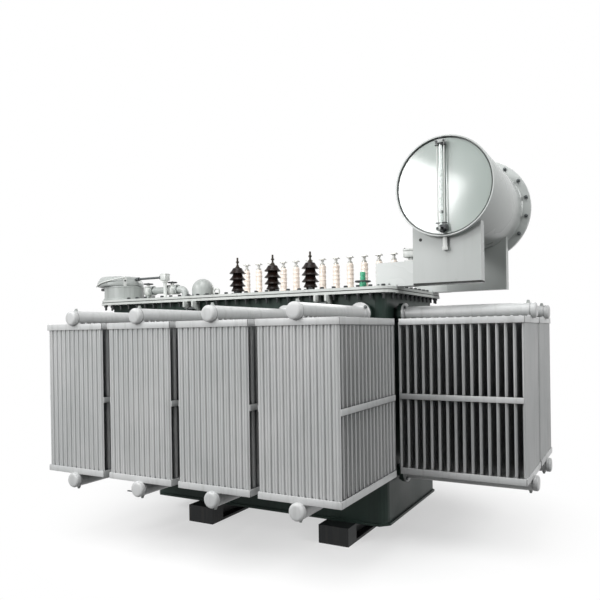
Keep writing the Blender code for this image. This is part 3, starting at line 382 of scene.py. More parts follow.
# A clear coat on the end plate, so that the lamps show in it.
plate_sockets = PLATE_ENAMEL.node_tree.nodes["Principled BSDF"].inputs
plate_sockets["Coat Weight"].default_value = 1.0
plate_sockets["Coat Roughness"].default_value = 0.08
FITTING_ENAMEL = weathered_enamel("fitting_grey_enamel", "#A6AAA8", "#9BA09D", "#6E726E", 0.36)
HANDLE_ENAMEL = weathered_enamel("handle_pale_enamel", "#D6D8D5", "#C9CCC9", "#8E918C", 0.36)
SKID_PAINT = weathered_enamel(
    "skid_black_paint", "#181A1B", "#1E2122", "#3C3A37", 0.45, 0.1, 0.5, gloss=0.3
)
IRON_PAINT = weathered_enamel("iron_black_paint", "#25282A", "#303436", "#4E4D49", 0.42, 0.1, 0.4)
VALVE_ENAMEL = weathered_enamel("valve_green_enamel", "#3FA37B", "#52B28C", "#2A6A52", 0.35)
GASKET_RUBBER = cork_rubber("gasket_cork_rubber", "#1B1C1C", "#55544F")
BROWN_GLAZE = glazed_porcelain("bushing_brown_glaze", "#1E120E", "#100B09", 0.22, 0.15)
CREAM_GLAZE = glazed_porcelain("bushing_cream_glaze", "#F0E4DA", "#E6D8CC", 0.14, 0.5)
BOLT_ZINC = zinc_plated("bolt_zinc", "#6E7273", "#45494A", 0.42)
TERMINAL_TIN = zinc_plated("terminal_tinned_copper", "#D2D2CE", "#A9A8A3", 0.34)
STUD_BRASS = zinc_plated("stud_dull_brass", "#4A443C", "#332F2A", 0.4)
GAUGE_GLASS = gauge_glass("oil_gauge_glass", "#D6DFDB", "#AEB9B4")

NODE_FINISHES = {
    "base_skid": SKID_PAINT,
    "tank_body": TANK_ENAMEL,
    "tap_changer_pocket": TANK_ENAMEL,
    "tank_rim_flange": COVER_ENAMEL,
    "cover_gasket": GASKET_RUBBER,
    "tank_cover": COVER_ENAMEL,
    "radiator": RADIATOR_ENAMEL,
    "conservator": DRUM_ENAMEL,
    "conservator_end_plate": PLATE_ENAMEL,
    "conservator_saddle": CARRIER_ENAMEL,
    "oil_level_gauge": FITTING_ENAMEL,
    "gas_relay": FITTING_ENAMEL,
    "tap_changer": FITTING_ENAMEL,
    "cover_oil_pipe": FITTING_ENAMEL,
    "cover_lifting_eye": FITTING_ENAMEL,
    "pressure_relief_dome": FITTING_ENAMEL,
    "filter_valve": VALVE_ENAMEL,
    "hv_bushing": BROWN_GLAZE,
    "lv_bushings": CREAM_GLAZE,
    "lifting_lug": COVER_ENAMEL,
}


def finish_cad_nodes():
    """Give each CAD node the finish of the longest name that its own starts with."""
    for name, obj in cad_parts.items():
        starts = [start for start in NODE_FINISHES if name.startswith(start)]
        obj.data.materials.clear()
        obj.data.materials.append(NODE_FINISHES[max(starts, key=len)])


# Mesh helpers.

def turned(profile, segments, origin=(0, 0, 0), direction=(0, 0, 1)):
    """Lathe (height, radius) points that start and end on the axis, then stand them on a direction."""
    bm = bmesh.new()
    verts = [bm.verts.new((radius, 0, height)) for height, radius in profile]
    edges = [bm.edges.new(pair) for pair in zip(verts, verts[1:])]
    bmesh.ops.spin(
        bm, geom=verts + edges, axis=(0, 0, 1), cent=(0, 0, 0), angle=2 * math.pi, steps=segments,
        use_merge=True,
    )
    bmesh.ops.remove_doubles(bm, verts=bm.verts, dist=1e-6)
    bmesh.ops.transform(bm, matrix=facing(origin, direction), verts=bm.verts)
    return bm


def facing(place, direction):
    """Matrix that stands +Z on a direction at a place."""
    stand = Vector((0, 0, 1)).rotation_difference(Vector(direction)).to_matrix().to_4x4()
    return Matrix.Translation(place) @ stand


def disc(low, high, radius, edge=0.0015):
    """Profile of a round plate between two heights, with eased edges."""
    return [
        (low, 0), (low, radius - edge), (low + edge, radius),
        (high - edge, radius), (high, radius - edge), (high, 0),
    ]


def raised(outline, steps):
    """Extrude a closed XY outline upwards, by (rise, swell along Y) steps."""
    bm = bmesh.new()
    verts = [bm.verts.new((x, y, 0)) for x, y in outline]
    edges = [bm.edges.new(pair) for pair in zip(verts, verts[1:] + verts[:1])]
    top = bmesh.ops.edgenet_fill(bm, edges=edges)["faces"]
    for rise, swell in steps:
        grown = bmesh.ops.extrude_face_region(bm, geom=top)["geom"]
        moved = [item for item in grown if isinstance(item, bmesh.types.BMVert)]
        bmesh.ops.translate(bm, verts=moved, vec=(0, 0, rise))
        bmesh.ops.scale(bm, verts=moved, vec=(1, swell, 1))
        top = [item for item in grown if isinstance(item, bmesh.types.BMFace)]
    return bm


def bevelled_box(low, high, bevel, segments=2):
    """Box between two corners, with all its edges eased."""
    low = Vector(low)
    high = Vector(high)
    bm = bmesh.new()
    matrix = Matrix.Translation((low + high) / 2) @ Matrix.Diagonal((*(high - low), 1))
    bmesh.ops.create_cube(bm, size=1, matrix=matrix)
    bmesh.ops.bevel(
        bm, geom=bm.edges[:], offset=bevel, offset_type="OFFSET", segments=segments, profile=0.5,
        affect="EDGES", material=-1,
    )
    return bm


def piped(radius, segments, start, heading, moves):
    """Round pipe along straight runs, each a length, and bends, each (towards, bend radius, degrees)."""
    bm = bmesh.new()
    heading = Vector(heading)
    centre = Vector(start)
    bmesh.ops.create_circle(bm, segments=segments, radius=radius, matrix=facing(start, heading))
    verts, edges = bm.verts[:], bm.edges[:]
    for move in moves:
        if isinstance(move, tuple):
            towards, bend_radius, degrees = move
            pivot = centre + Vector(towards) * bend_radius
            axis = heading.cross(Vector(towards))
            angle = math.radians(degrees)
            grown = bmesh.ops.spin(
                bm, geom=verts + edges, cent=pivot, axis=axis, angle=angle, steps=8
            )["geom_last"]
            turn = Matrix.Rotation(angle, 3, axis)
            centre = pivot + turn @ (centre - pivot)
            heading = turn @ heading
        else:
            grown = bmesh.ops.extrude_edge_only(bm, edges=edges)["geom"]
            moved = [item for item in grown if isinstance(item, bmesh.types.BMVert)]
            bmesh.ops.translate(bm, verts=moved, vec=heading * move)
            centre = centre + heading * move
        verts = [item for item in grown if isinstance(item, bmesh.types.BMVert)]
        edges = [item for item in grown if isinstance(item, bmesh.types.BMEdge)]
    bmesh.ops.holes_fill(bm, edges=[edge for edge in bm.edges if edge.is_boundary])
    return bm


def ring(radius, bar, segments=32, bar_segments=10, matrix=Matrix.Identity(4)):
    """Round bar bent to a ring about +Z."""
    bm = bmesh.new()
    place = Matrix.Translation((radius, 0, 0)) @ Matrix.Rotation(math.radians(90), 4, "X")
    bmesh.ops.create_circle(bm, segments=bar_segments, radius=bar, matrix=place)
    bmesh.ops.spin(
        bm, geom=bm.verts[:] + bm.edges[:], axis=(0, 0, 1), cent=(0, 0, 0), angle=2 * math.pi,
        steps=segments, use_merge=True,
    )
    bmesh.ops.remove_doubles(bm, verts=bm.verts, dist=1e-6)
    bmesh.ops.transform(bm, matrix=matrix, verts=bm.verts)
    return bm


def hexagon(across, low, high, matrix=Matrix.Identity(4)):
    """Hexagon bar between two heights, its top edge eased."""
    bm = bmesh.new()
    radius = across / math.sqrt(3)
    bmesh.ops.create_cone(
        bm, cap_ends=True, segments=6, radius1=radius, radius2=radius, depth=high - low,
        matrix=Matrix.Translation((0, 0, (low + high) / 2)),
    )
    rim = [edge for edge in bm.edges if all(v.co.z > (low + high) / 2 for v in edge.verts)]
    bmesh.ops.bevel(
        bm, geom=rim, offset=(high - low) * 0.14, offset_type="OFFSET", segments=1, profile=0.5,
        affect="EDGES", material=-1,
    )
    bmesh.ops.transform(bm, matrix=matrix, verts=bm.verts)
    return bm


def joined(parts, matrix=None):
    """Put several bmeshes in one; the parts are freed."""
    whole = bmesh.new()
    for part in parts:
        mesh = bpy.data.meshes.new("part")
        part.to_mesh(mesh)
        part.free()
        whole.from_mesh(mesh)
        bpy.data.meshes.remove(mesh)
    if matrix is not None:
        bmesh.ops.transform(whole, matrix=matrix, verts=whole.verts)
    return whole


def scattered(bm, matrices):
    """Copies of a small bmesh at each matrix; the original is freed."""
    copies = []
    for matrix in matrices:
        copy = bm.copy()
        bmesh.ops.transform(copy, matrix=matrix, verts=copy.verts)
        copies.append(copy)
    bm.free()
    return joined(copies)


def add_piece(name, bm, material, replaces=(), smooth_angle=35):
    """Turn a bmesh into a visible piece with its finish; the bmesh is freed."""
    bmesh.ops.recalc_face_normals(bm, faces=bm.faces)
    mesh = bpy.data.meshes.new(name)
    bm.to_mesh(mesh)
    bm.free()
    mesh.materials.append(material)
    mesh.shade_smooth()
    mesh.set_sharp_from_angle(angle=math.radians(smooth_angle))
    obj = bpy.data.objects.new(name, mesh)
    bpy.context.scene.collection.objects.link(obj)
    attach(obj, "root")
    if replaces:
        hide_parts(*replaces)


# Bolts and handwheels.

def hex_bolt(across, head, washer_radius):
    """Hexagon head on a washer, standing on z = 0."""
    washer = 0.0025
    plate = turned([(0, 0), (0, washer_radius), (washer, washer_radius), (washer, 0)], 12)
    return joined([plate, hexagon(across, washer, washer + head)])


def bolt_end(across, nut, stub, radius):
    """Nut with the bolt's end standing out of it, on z = 0."""
    tip = nut + stub
    end = turned([(0, 0), (0, radius), (tip - 0.002, radius), (tip, radius * 0.7), (tip, 0)], 8)
    return joined([hexagon(across, 0, nut), end])


def bolt_ring(centre, direction, radius, count, start=45.0):
    """Matrices of bolts on a circle about an axis."""
    stand = facing(centre, direction)
    return [
        stand @ Matrix.Rotation(math.radians(start + 360 * n / count), 4, "Z")
        @ Matrix.Translation((radius, 0, 0))
        for n in range(count)
    ]


def handwheel(radius, bar, spokes, matrix):
    """Rim, flat spokes and a hub with its nut, about +Z at z = 0."""
    parts = [ring(radius - bar, bar)]
    for number in range(spokes):
        spoke = bevelled_box(
            (0, -bar * 0.8, -bar * 0.5), (radius - bar, bar * 0.8, bar * 0.5), bar * 0.2, 1
        )
        turn = Matrix.Rotation(2 * math.pi * number / spokes, 4, "Z")
        bmesh.ops.transform(spoke, matrix=turn, verts=spoke.verts)
        parts.append(spoke)
    parts.append(turned(disc(-bar, bar, radius * 0.26), 20))
    parts.append(hexagon(radius * 0.3, bar, bar + radius * 0.12))
    return joined(parts, matrix)


# Radiators.

def radiator_matrix(node):
    """Matrix from a radiator's own frame, wall at y = 0 and panels towards -Y, to its place."""
    low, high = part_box(node)
    centre = middle(node)
    if "end" in node:
        wall, turn = (low[0] - JOINT_FROM_WALL, centre.y, 0), 90
    elif "front" in node:
        wall, turn = (centre.x, high[1] + JOINT_FROM_WALL, 0), 0
    else:
        wall, turn = (centre.x, low[1] - JOINT_FROM_WALL, 0), 180
    return Matrix.Translation(wall) @ Matrix.Rotation(math.radians(turn), 4, "Z")


def pressed_panel(half, back, flute):
    """Two sheets pressed into round oil channels, seamed flat between them and round the edge."""
    bulge = (PANEL_THICKNESS - SEAM_THICKNESS) / 2
    pitch = 2 * (half - SEAM_MARGIN) / FLUTE_COUNT
    side = [(-half, 0.0)]
    for number in range(FLUTE_COUNT):
        crest = -half + SEAM_MARGIN + (number + 0.5) * pitch
        side += [(crest + share * pitch, rise) for share, rise in flute]
    side.append((half, 0.0))
    flat = SEAM_THICKNESS / PANEL_THICKNESS
    depth = SEAM_THICKNESS / 2
    outline = [(x, flat * (-depth - rise * bulge)) for x, rise in side]
    outline += [(x, flat * (depth + rise * bulge)) for x, rise in reversed(side)]
    taper = 0.026
    end_gap = 0.003
    rise = PANEL_HIGH - PANEL_LOW - 2 * taper - 2 * end_gap
    bm = raised(outline, ((taper, 1 / flat), (rise, 1), (taper, flat)))
    bmesh.ops.translate(bm, verts=bm.verts, vec=(0, back - PANEL_THICKNESS / 2, PANEL_LOW + end_gap))
    return bm


def header_pipe(level, length):
    """Flanged pipe with a weld fillet, a groove before its cap sleeve and an eased cap."""
    cap = HEADER_RADIUS
    sleeve = length - HEADER_REACH
    profile = [
        *disc(0, FLANGE_THICKNESS, FLANGE_RADIUS)[:-1],
        (FLANGE_THICKNESS, cap + 0.004), (FLANGE_THICKNESS + 0.004, cap - 0.001),
        (sleeve - 0.007, cap - 0.001), (sleeve - 0.006, cap - 0.005),
        (sleeve - 0.001, cap - 0.005), (sleeve, cap),
        (length - 0.012, cap), (length - 0.007, cap - 0.0025), (length - 0.003, cap - 0.007),
        (length - 0.0008, cap - 0.013), (length, cap - 0.020), (length, 0),
    ]
    return turned(profile, 40, (0, -JOINT_FROM_WALL, level), (0, -1, 0))


def radiator_panels():
    """Pressed panels with their blocks round the headers; the two outer ones have double flutes."""
    block_width = 0.092
    blocks = ((PANEL_LOW - 0.008, PANEL_LOW + 0.030), (PANEL_HIGH - 0.030, PANEL_HIGH + 0.008))
    parts = []
    for number in range(PANEL_COUNT):
        back = -WALL_TO_PANELS - number * PANEL_PITCH
        front = back - PANEL_THICKNESS
        flute = DOUBLE_FLUTE if number in (0, PANEL_COUNT - 1) else PLAIN_FLUTE
        parts.append(pressed_panel(PANEL_WIDTH / 2, back, flute))
        for low, high in blocks:
            parts.append(
                bevelled_box((-block_width / 2, front, low), (block_width / 2, back, high), 0.003, 1)
            )
    return joined(parts)


def radiator_frame():
    """Rails round the panels at top and bottom, tie straps at mid height, and both header pipes."""
    end = -WALL_TO_PANELS - 0.010
    outer = PANEL_WIDTH / 2 + STRAP_THICKNESS
    front = FURTHEST_PANEL - STRAP_THICKNESS
    sides = ((-outer, RAIL_SHEET - outer), (outer - RAIL_SHEET, outer))
    parts = []
    for low in (PANEL_LOW + 0.0015, PANEL_HIGH - RAIL_HEIGHT):
        high = low + RAIL_HEIGHT - 0.0015
        parts.append(bevelled_box((-outer, front, low), (outer, front + RAIL_SHEET, high), 0.002))
        for left, right in sides:
            parts.append(bevelled_box((left, front + 0.001, low), (right, end, high), 0.002))
    low = (PANEL_LOW + PANEL_HIGH) / 2 - MID_STRAP_HEIGHT / 2
    high = (PANEL_LOW + PANEL_HIGH) / 2 + MID_STRAP_HEIGHT / 2
    for left, right in sides:
        parts.append(bevelled_box((left, FURTHEST_PANEL + 0.010, low), (right, end, high), 0.0018))
    length = -JOINT_FROM_WALL - FURTHEST_PANEL + HEADER_REACH
    return joined(parts + [header_pipe(level, length) for level in HEADER_LEVELS])


def build_radiators():
    """Panels, rails and headers of each radiator, with a plug on top and a drain plug below."""
    panels = radiator_panels()
    rails = radiator_frame()
    for node in RADIATORS:
        matrix = [radiator_matrix(node)]
        placed = scattered(panels.copy(), matrix)
        add_piece(f"{node}_panels", placed, RADIATOR_ENAMEL, [node], 50)
        placed = scattered(rails.copy(), matrix)
        add_piece(f"{node}_headers", placed, HEADER_LIT_ENAMEL)
    panels.free()
    rails.free()
    plug = joined([turned(disc(-0.004, 0.005, 0.013), 20), hexagon(0.016, 0.005, 0.016)])
    places = []
    for node in RADIATORS:
        for level, direction in zip(HEADER_LEVELS, (-1, 1)):
            spot = Vector((0, FURTHEST_PANEL + 0.020, level + direction * HEADER_RADIUS))
            places.append(radiator_matrix(node) @ facing(spot, (0, 0, direction)))
    add_piece("radiator_plugs", scattered(plug, places), FITTING_ENAMEL)


def build_radiator_flange_bolts():
    """Four bolts at each flanged joint between a radiator and its stub."""
    heads = []
    nuts = []
    for node in RADIATORS:
        matrix = radiator_matrix(node)
        for level in HEADER_LEVELS:
            outer = (0, -JOINT_FROM_WALL - FLANGE_THICKNESS, level)
            inner = (0, -JOINT_FROM_WALL + 2 * FLANGE_THICKNESS, level)
            heads += [matrix @ spot for spot in bolt_ring(outer, (0, -1, 0), FLANGE_BOLT_CIRCLE, 4)]
            nuts += [matrix @ spot for spot in bolt_ring(inner, (0, 1, 0), FLANGE_BOLT_CIRCLE, 4)]
    bolts = joined([
        scattered(hex_bolt(0.019, 0.008, 0.0105), heads),
        scattered(bolt_end(0.019, 0.010, 0.006, 0.006), nuts),
    ])
    add_piece("radiator_flange_bolts", bolts, BOLT_ZINC)


def build_drain_cock():
    """Lever cock under the second radiator's bottom header, near its cap."""
    x = middle("radiator_front_2").x - 0.046
    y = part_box("radiator_front_2")[0][1] + 0.070
    z = HEADER_LEVELS[0] - 0.006
    body = joined([
        piped(0.011, 16, (x + 0.010, y, z), (-1, 0, 0), (0.046,)),
        turned(disc(0.0, 0.024, 0.018), 20, (x - 0.012, y, z), (-1, 0, 0)),
        hexagon(0.026, 0, 0.016, facing((x - 0.034, y, z), (-1, 0, 0))),
        turned(disc(0.0, 0.030, 0.008), 16, (x - 0.024, y, z), (0, 0, -1)),
    ])
    add_piece("drain_cock", body, FITTING_ENAMEL)
    lever = joined([
        bevelled_box((x - 0.098, y - 0.007, z - 0.035), (x + 0.004, y + 0.007, z - 0.030), 0.0015),
        turned(disc(0.0, 0.010, 0.010), 16, (x - 0.024, y, z - 0.028), (0, 0, -1)),
    ])
    add_piece("drain_cock_lever", lever, BOLT_ZINC)


# Tank and cover.

def rim_outline(inset):
    """Closed path round the rim's rounded outline, pulled in by a distance."""
    left, right = RIM_LOW[0] + inset, RIM_HIGH[0] - inset
    half = RIM_HIGH[1] - inset
    left_radius, right_radius = RIM_CORNER_LEFT - inset, RIM_CORNER_RIGHT - inset
    path = []
    corners = (
        (right - right_radius, half - right_radius, 0, right_radius),
        (left + left_radius, half - left_radius, 90, left_radius),
        (left + left_radius, left_radius - half, 180, left_radius),
        (right - right_radius, right_radius - half, 270, right_radius),
    )
    for x, y, start, radius in corners:
        for step in range(9):
            angle = math.radians(start + 90 * step / 8)
            path.append(Vector((x + radius * math.cos(angle), y + radius * math.sin(angle))))
    return path + [path[0]]


def rim_bolt_places(inset, pitch):
    """Points at an even pitch along the rim's outline."""
    path = rim_outline(inset)
    lengths = [(b - a).length for a, b in zip(path, path[1:])]
    count = round(sum(lengths) / pitch)
    step = sum(lengths) / count
    places = []
    travelled = 0.0
    index = 0
    for number in range(count):
        wanted = (number + 0.5) * step
        while travelled + lengths[index] < wanted:
            travelled += lengths[index]
            index += 1
        share = (wanted - travelled) / lengths[index]
        places.append(path[index].lerp(path[index + 1], share))
    return places


def build_gasket():
    """Dark sealing strip that shows between the rim and the cover."""
    bm = raised([tuple(point) for point in rim_outline(0.0045)[:-1]], ((0.0060, 1),))
    bmesh.ops.translate(bm, verts=bm.verts, vec=(0, 0, RIM_HIGH[2] + SEAT_GAP))
    add_piece("cover_gasket_edge", bm, GASKET_RUBBER, ["cover_gasket"])


def is_clear(point, nodes, margin):
    """True if a point on the cover is clear of the named nodes."""
    for node in nodes:
        low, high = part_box(node)
        if all(low[axis] - margin < point[axis] < high[axis] + margin for axis in (0, 1)):
            return False
    return True


def build_cover_bolts():
    """Bolts round the cover: heads on the cover, nuts and long ends under the rim."""
    places = rim_bolt_places(COVER_BOLT_INSET, COVER_BOLT_PITCH)
    blocked = ("tap_changer_head", "conservator_bracket_near", "conservator_bracket_far")
    above_cover = [p for p in places if is_clear(p, blocked, BOLT_CLEARANCE)]
    spots = [Matrix.Translation((p.x, p.y, COVER_TOP)) for p in above_cover]
    heads = scattered(hex_bolt(0.024, 0.012, 0.0145), spots)
    add_piece("cover_bolt_heads", heads, IRON_PAINT)
    under_rim = [p for p in places if is_clear(p, LUGS, BOLT_CLEARANCE)]
    spots = [facing((p.x, p.y, RIM_LOW[2]), (0, 0, -1)) for p in under_rim]
    nuts = scattered(bolt_end(0.024, 0.014, 0.026, 0.008), spots)
    add_piece("cover_bolt_nuts", nuts, IRON_PAINT)


def build_lifting_lugs():
    """Two cheeks with eased edges and the cross pin between them."""
    cheek = 0.016
    depth = 0.090
    for node in LUGS:
        low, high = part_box(node)
        side = -1 if "front" in node else 1
        wall = high[1] if side < 0 else low[1]
        inner, outer = sorted((wall, wall + side * depth))
        parts = []
        for x in (low[0], high[0] - cheek):
            plate = bevelled_box((x, inner, low[2]), (x + cheek, outer, high[2]), 0.0015, 1)
            corner = [v for v in plate.verts if (v.co.y - wall) * side > 0.05 and v.co.z < low[2] + 0.02]
            bmesh.ops.translate(plate, verts=corner, vec=(0, 0, 0.045))
            parts.append(plate)
        add_piece(f"{node}_cheeks", joined(parts), COVER_ENAMEL, [node])
        pin = turned(
            disc(0, high[0] - low[0] - 2 * cheek + 0.004, 0.011), 20,
            (low[0] + cheek - 0.002, wall + side * 0.050, high[2] - 0.058), (1, 0, 0),
        )
        add_piece(f"{node}_pin", pin, IRON_PAINT)


# Conservator.

def build_conservator():
    """Smooth drum with a lip, a plain near end plate and a bolted lid on the far flange."""
    low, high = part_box("conservator_barrel")
    plate_low, plate_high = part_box("conservator_end_plate")
    lid_low, lid_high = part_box("conservator_far_cover")
    centre = middle("conservator_end_plate")
    length = high[1] - low[1]
    flange = (lid_high[0] - lid_low[0]) / 2
    flange_thickness = 0.016
    neck = length - flange_thickness
    radius = DRUM_RADIUS
    recess = plate_high[1] - low[1] + SEAT_GAP
    shell = [
        (recess, 0), (recess, radius - 0.0100), (0.0015, radius - 0.0100), (0, radius - 0.0085),
        (0, radius - 0.0015), (0.0015, radius - 0.0005), (neck - 0.005, radius - 0.0005),
        (neck, radius + 0.0045), (neck, flange - 0.002), (length - 0.0145, flange - 0.0005),
        (length, flange - 0.0005), (length, 0),
    ]
    axis = (0, 1, 0)
    drum = turned(shell, 112, (centre.x, low[1], centre.z), axis)
    add_piece("conservator_shell", drum, DRUM_ENAMEL, ["conservator_barrel"])
    plate = turned(
        [(0, 0), (0, radius - 0.0195), (0.0020, radius - 0.0175), (0.012, radius - 0.0175), (0.012, 0)],
        112, (centre.x, plate_low[1], centre.z), axis,
    )
    add_piece("conservator_end", plate, PLATE_ENAMEL, ["conservator_end_plate"])
    thickness = lid_high[1] - lid_low[1]
    lid = turned(
        disc(0, thickness, flange - 0.0005, 0.002), 112, (centre.x, lid_low[1], centre.z), axis
    )
    add_piece("conservator_lid", lid, DRUM_ENAMEL, ["conservator_far_cover"])
    circle = (LID_BOLT_CIRCLE, LID_BOLT_COUNT, 180 / LID_BOLT_COUNT)
    spots = bolt_ring((centre.x, high[1] - flange_thickness, centre.z), (0, -1, 0), *circle)
    nuts = scattered(bolt_end(0.024, 0.013, 0.014, 0.008), spots)
    add_piece("conservator_lid_nuts", nuts, BOLT_ZINC)
    spots = bolt_ring((centre.x, lid_high[1] - 0.0005, centre.z), axis, *circle)
    spots = [spot @ Matrix.Translation((0, 0, -0.012)) for spot in spots]
    heads = scattered(hex_bolt(0.024, 0.0095, 0.0135), spots)
    add_piece("conservator_lid_bolts", heads, BOLT_ZINC)


def build_saddle_details():
    """Bolts that hold the brackets down, a dark strip of painted shade under the near saddle's front
    edge, and a dark disc of painted shade for the hole in its face.
    """
    base_plate = 0.012
    places = []
    for side in ("near", "far"):
        low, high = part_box(f"conservator_bracket_{side}")
        for y in (low[1] + 0.0060, high[1] - 0.0060):
            for x in (low[0] + 0.030, low[0] + 0.110):
                places.append(Matrix.Translation((x, y, COVER_TOP + base_plate)))
    bolts = scattered(hex_bolt(0.010, 0.006, 0.0058), places)
    add_piece("bracket_bolts", bolts, BOLT_ZINC)
    low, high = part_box("conservator_saddle_near")
    # Painted shade: a dark rubber strip along the near saddle's foot stands in for the shade under its
    # front edge.
    saddle_shade_strip = bevelled_box(
        (low[0] + 0.001, low[1] - 0.0015, low[2] + SEAT_GAP),
        (high[0] + 0.001, low[1] + 0.080, low[2] + 0.0130), 0.001,
    )
    add_piece("saddle_edge_painted_shade", saddle_shade_strip, GASKET_RUBBER)
    # Painted shade: a thin dark disc on the saddle's face stands for the shade inside its hole.
    hole_radius = 0.011
    hole_place = (low[0] + 0.054, low[1] + 0.0008, 2.038)
    hole_shade_disc = turned(
        [(0, 0), (0, hole_radius), (0.0015, hole_radius), (0.0015, 0)], 24, hole_place, (0, -1, 0)
    )
    add_piece("saddle_hole_painted_shade", hole_shade_disc, GASKET_RUBBER)


def build_gauge():
    """Glass tube between two clamps, with guard rods, cocks and their screws."""
    low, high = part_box("oil_level_gauge")
    x = (low[0] + high[0]) / 2
    back = high[1]
    tube_y = low[1] + 0.016
    tube_low, tube_high = low[2] + 0.030, high[2] - 0.030
    glass = turned(disc(tube_low, tube_high, 0.0105, 0.001), 28, (x, tube_y, 0))
    add_piece("gauge_tube", glass, GAUGE_GLASS, ["oil_level_gauge"])
    rods = [
        turned(disc(tube_low, tube_high, 0.0035, 0.001), 12, (x + dx, tube_y, 0))
        for dx in (-0.022, 0.022)
    ]
    add_piece("gauge_guard_rods", joined(rods), HANDLE_ENAMEL)
    clamps = []
    dark = []
    for z, way in ((low[2], 1), (high[2], -1)):
        floor, top = sorted((z + way * 0.012, z + way * 0.034))
        clamps.append(
            bevelled_box(
                (low[0] + 0.002, low[1] + 0.004, floor), (high[0] - 0.002, back - 0.018, top), 0.004
            )
        )
        stem = (x, back, z + way * 0.023)
        clamps.append(turned(disc(0, 0.030, 0.013), 20, stem, (0, -1, 0)))
        dark.append(turned(disc(0, 0.008, 0.024), 24, stem, (0, -1, 0)))
        for near, far, radius in ((0.034, 0.042, 0.0150), (0.002, 0.012, 0.0125)):
            floor, top = sorted((z + way * near, z + way * far))
            dark.append(turned(disc(floor, top, radius), 24, (x, tube_y, 0)))
    for z in (low[2] + 0.023, high[2] - 0.023):
        for dx in (-0.024, 0.024):
            dark.append(hexagon(0.013, 0, 0.006, facing((x + dx, low[1] + 0.0055, z), (0, -1, 0))))
    add_piece("gauge_clamps", joined(clamps), FITTING_ENAMEL)
    cock_low = (x - 0.008, low[1] + 0.004, low[2] + 0.012)
    cock_high = (high[0] - 0.0005, back - 0.006, low[2] + 0.046)
    dark.append(bevelled_box(cock_low, cock_high, 0.004))
    left, right, front, rear = low[0] + 0.001, high[0] - 0.001, low[1] + 0.006, low[1] + 0.028
    for floor, top in ((low[2] + 0.054, low[2] + 0.060), (high[2] - 0.048, high[2] - 0.042)):
        dark.append(bevelled_box((left, front, floor), (right, rear, top), 0.0015))
    dark.append(turned(disc(0, 0.010, 0.012), 20, (x + 0.002, tube_y, low[2] + 0.126), (0, -1, 0)))
    add_piece("gauge_glands", joined(dark), IRON_PAINT)


def build_drain():
    """Drain pipe that ends in a hexagon plug."""
    x, y, foot = underside("conservator_drain")
    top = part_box("conservator_drain")[1][2]
    pipe = joined([
        turned(disc(foot + 0.020, top, 0.0150, 0.0005), 24, (x, y, 0)),
        hexagon(0.034, 0.0, 0.024, Matrix.Translation((x, y, foot))),
    ])
    add_piece("drain_pipe", pipe, HANDLE_ENAMEL, ["conservator_drain"])


def build_gas_relay():
    """Relay with windows and a terminal box on top, between flanges in a bent pipe."""
    low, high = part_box("gas_relay")
    y = (low[1] + high[1]) / 2
    foot_x = low[0] + 0.0253
    relay_x = foot_x + 0.123
    riser_x = high[0] - 0.0255
    axis = 1.880
    bore, bend = 0.025, 0.040
    rising = (axis - low[2] - bend, ((1, 0, 0), bend, 90), 0.044)
    leaving = (riser_x - relay_x - 0.090, ((0, 0, 1), bend, 90), high[2] - axis - 0.042)
    parts = [
        piped(bore, 28, (foot_x, y, low[2]), (0, 0, 1), rising),
        piped(bore, 28, (relay_x + 0.050, y, axis), (1, 0, 0), leaving),
        turned(disc(0, 0.012, 0.045), 32, (foot_x, y, low[2])),
    ]
    for x in (relay_x - 0.052, relay_x + 0.040):
        for step in (0, 0.0135):
            parts.append(turned(disc(0, 0.012, 0.044), 32, (x - 0.0135 + step, y, axis), (1, 0, 0)))
    add_piece("relay_pipe", joined(parts), FITTING_ENAMEL, ["gas_relay"])
    # Body, its top plate, the terminal box and its lid: half length, half width, heights and easing.
    boxes = [
        bevelled_box((relay_x - dx, y - dy, axis + floor), (relay_x + dx, y + dy, axis + top), bevel)
        for dx, dy, floor, top, bevel in (
            (0.038, 0.043, -0.052, 0.052, 0.008), (0.042, 0.047, 0.046, 0.058, 0.003),
            (0.051, 0.049, 0.078, 0.122, 0.005), (0.052, 0.050, 0.122, 0.139, 0.004),
        )
    ]
    neck = turned(disc(axis + 0.055, axis + 0.080, 0.028), 28, (relay_x, y, 0))
    body = joined([*boxes[:2], neck, *boxes[2:]])
    add_piece("relay_body", body, HANDLE_ENAMEL)
    panes = []
    screws = []
    for side in (-1, 1):
        panes.append(turned(disc(0, 0.003, 0.026), 28, (relay_x, y + side * 0.042, axis), (0, side, 0)))
        screws += bolt_ring((relay_x, y + side * 0.043, axis), (0, side, 0), 0.031, 6)
    add_piece("relay_windows", joined(panes), GAUGE_GLASS)
    for side in (-1, 1):
        screws += bolt_ring((relay_x + side * 0.0655, y, axis), (side, 0, 0), 0.036, 4)
    screws += [
        Matrix.Translation((relay_x + dx, y + dy, axis + 0.1375))
        for dx in (-0.040, 0.040) for dy in (-0.038, 0.038)
    ]
    small_bolts = scattered(hex_bolt(0.009, 0.004, 0.0055), screws)
    add_piece("relay_screws", small_bolts, BOLT_ZINC)


# Bushings.

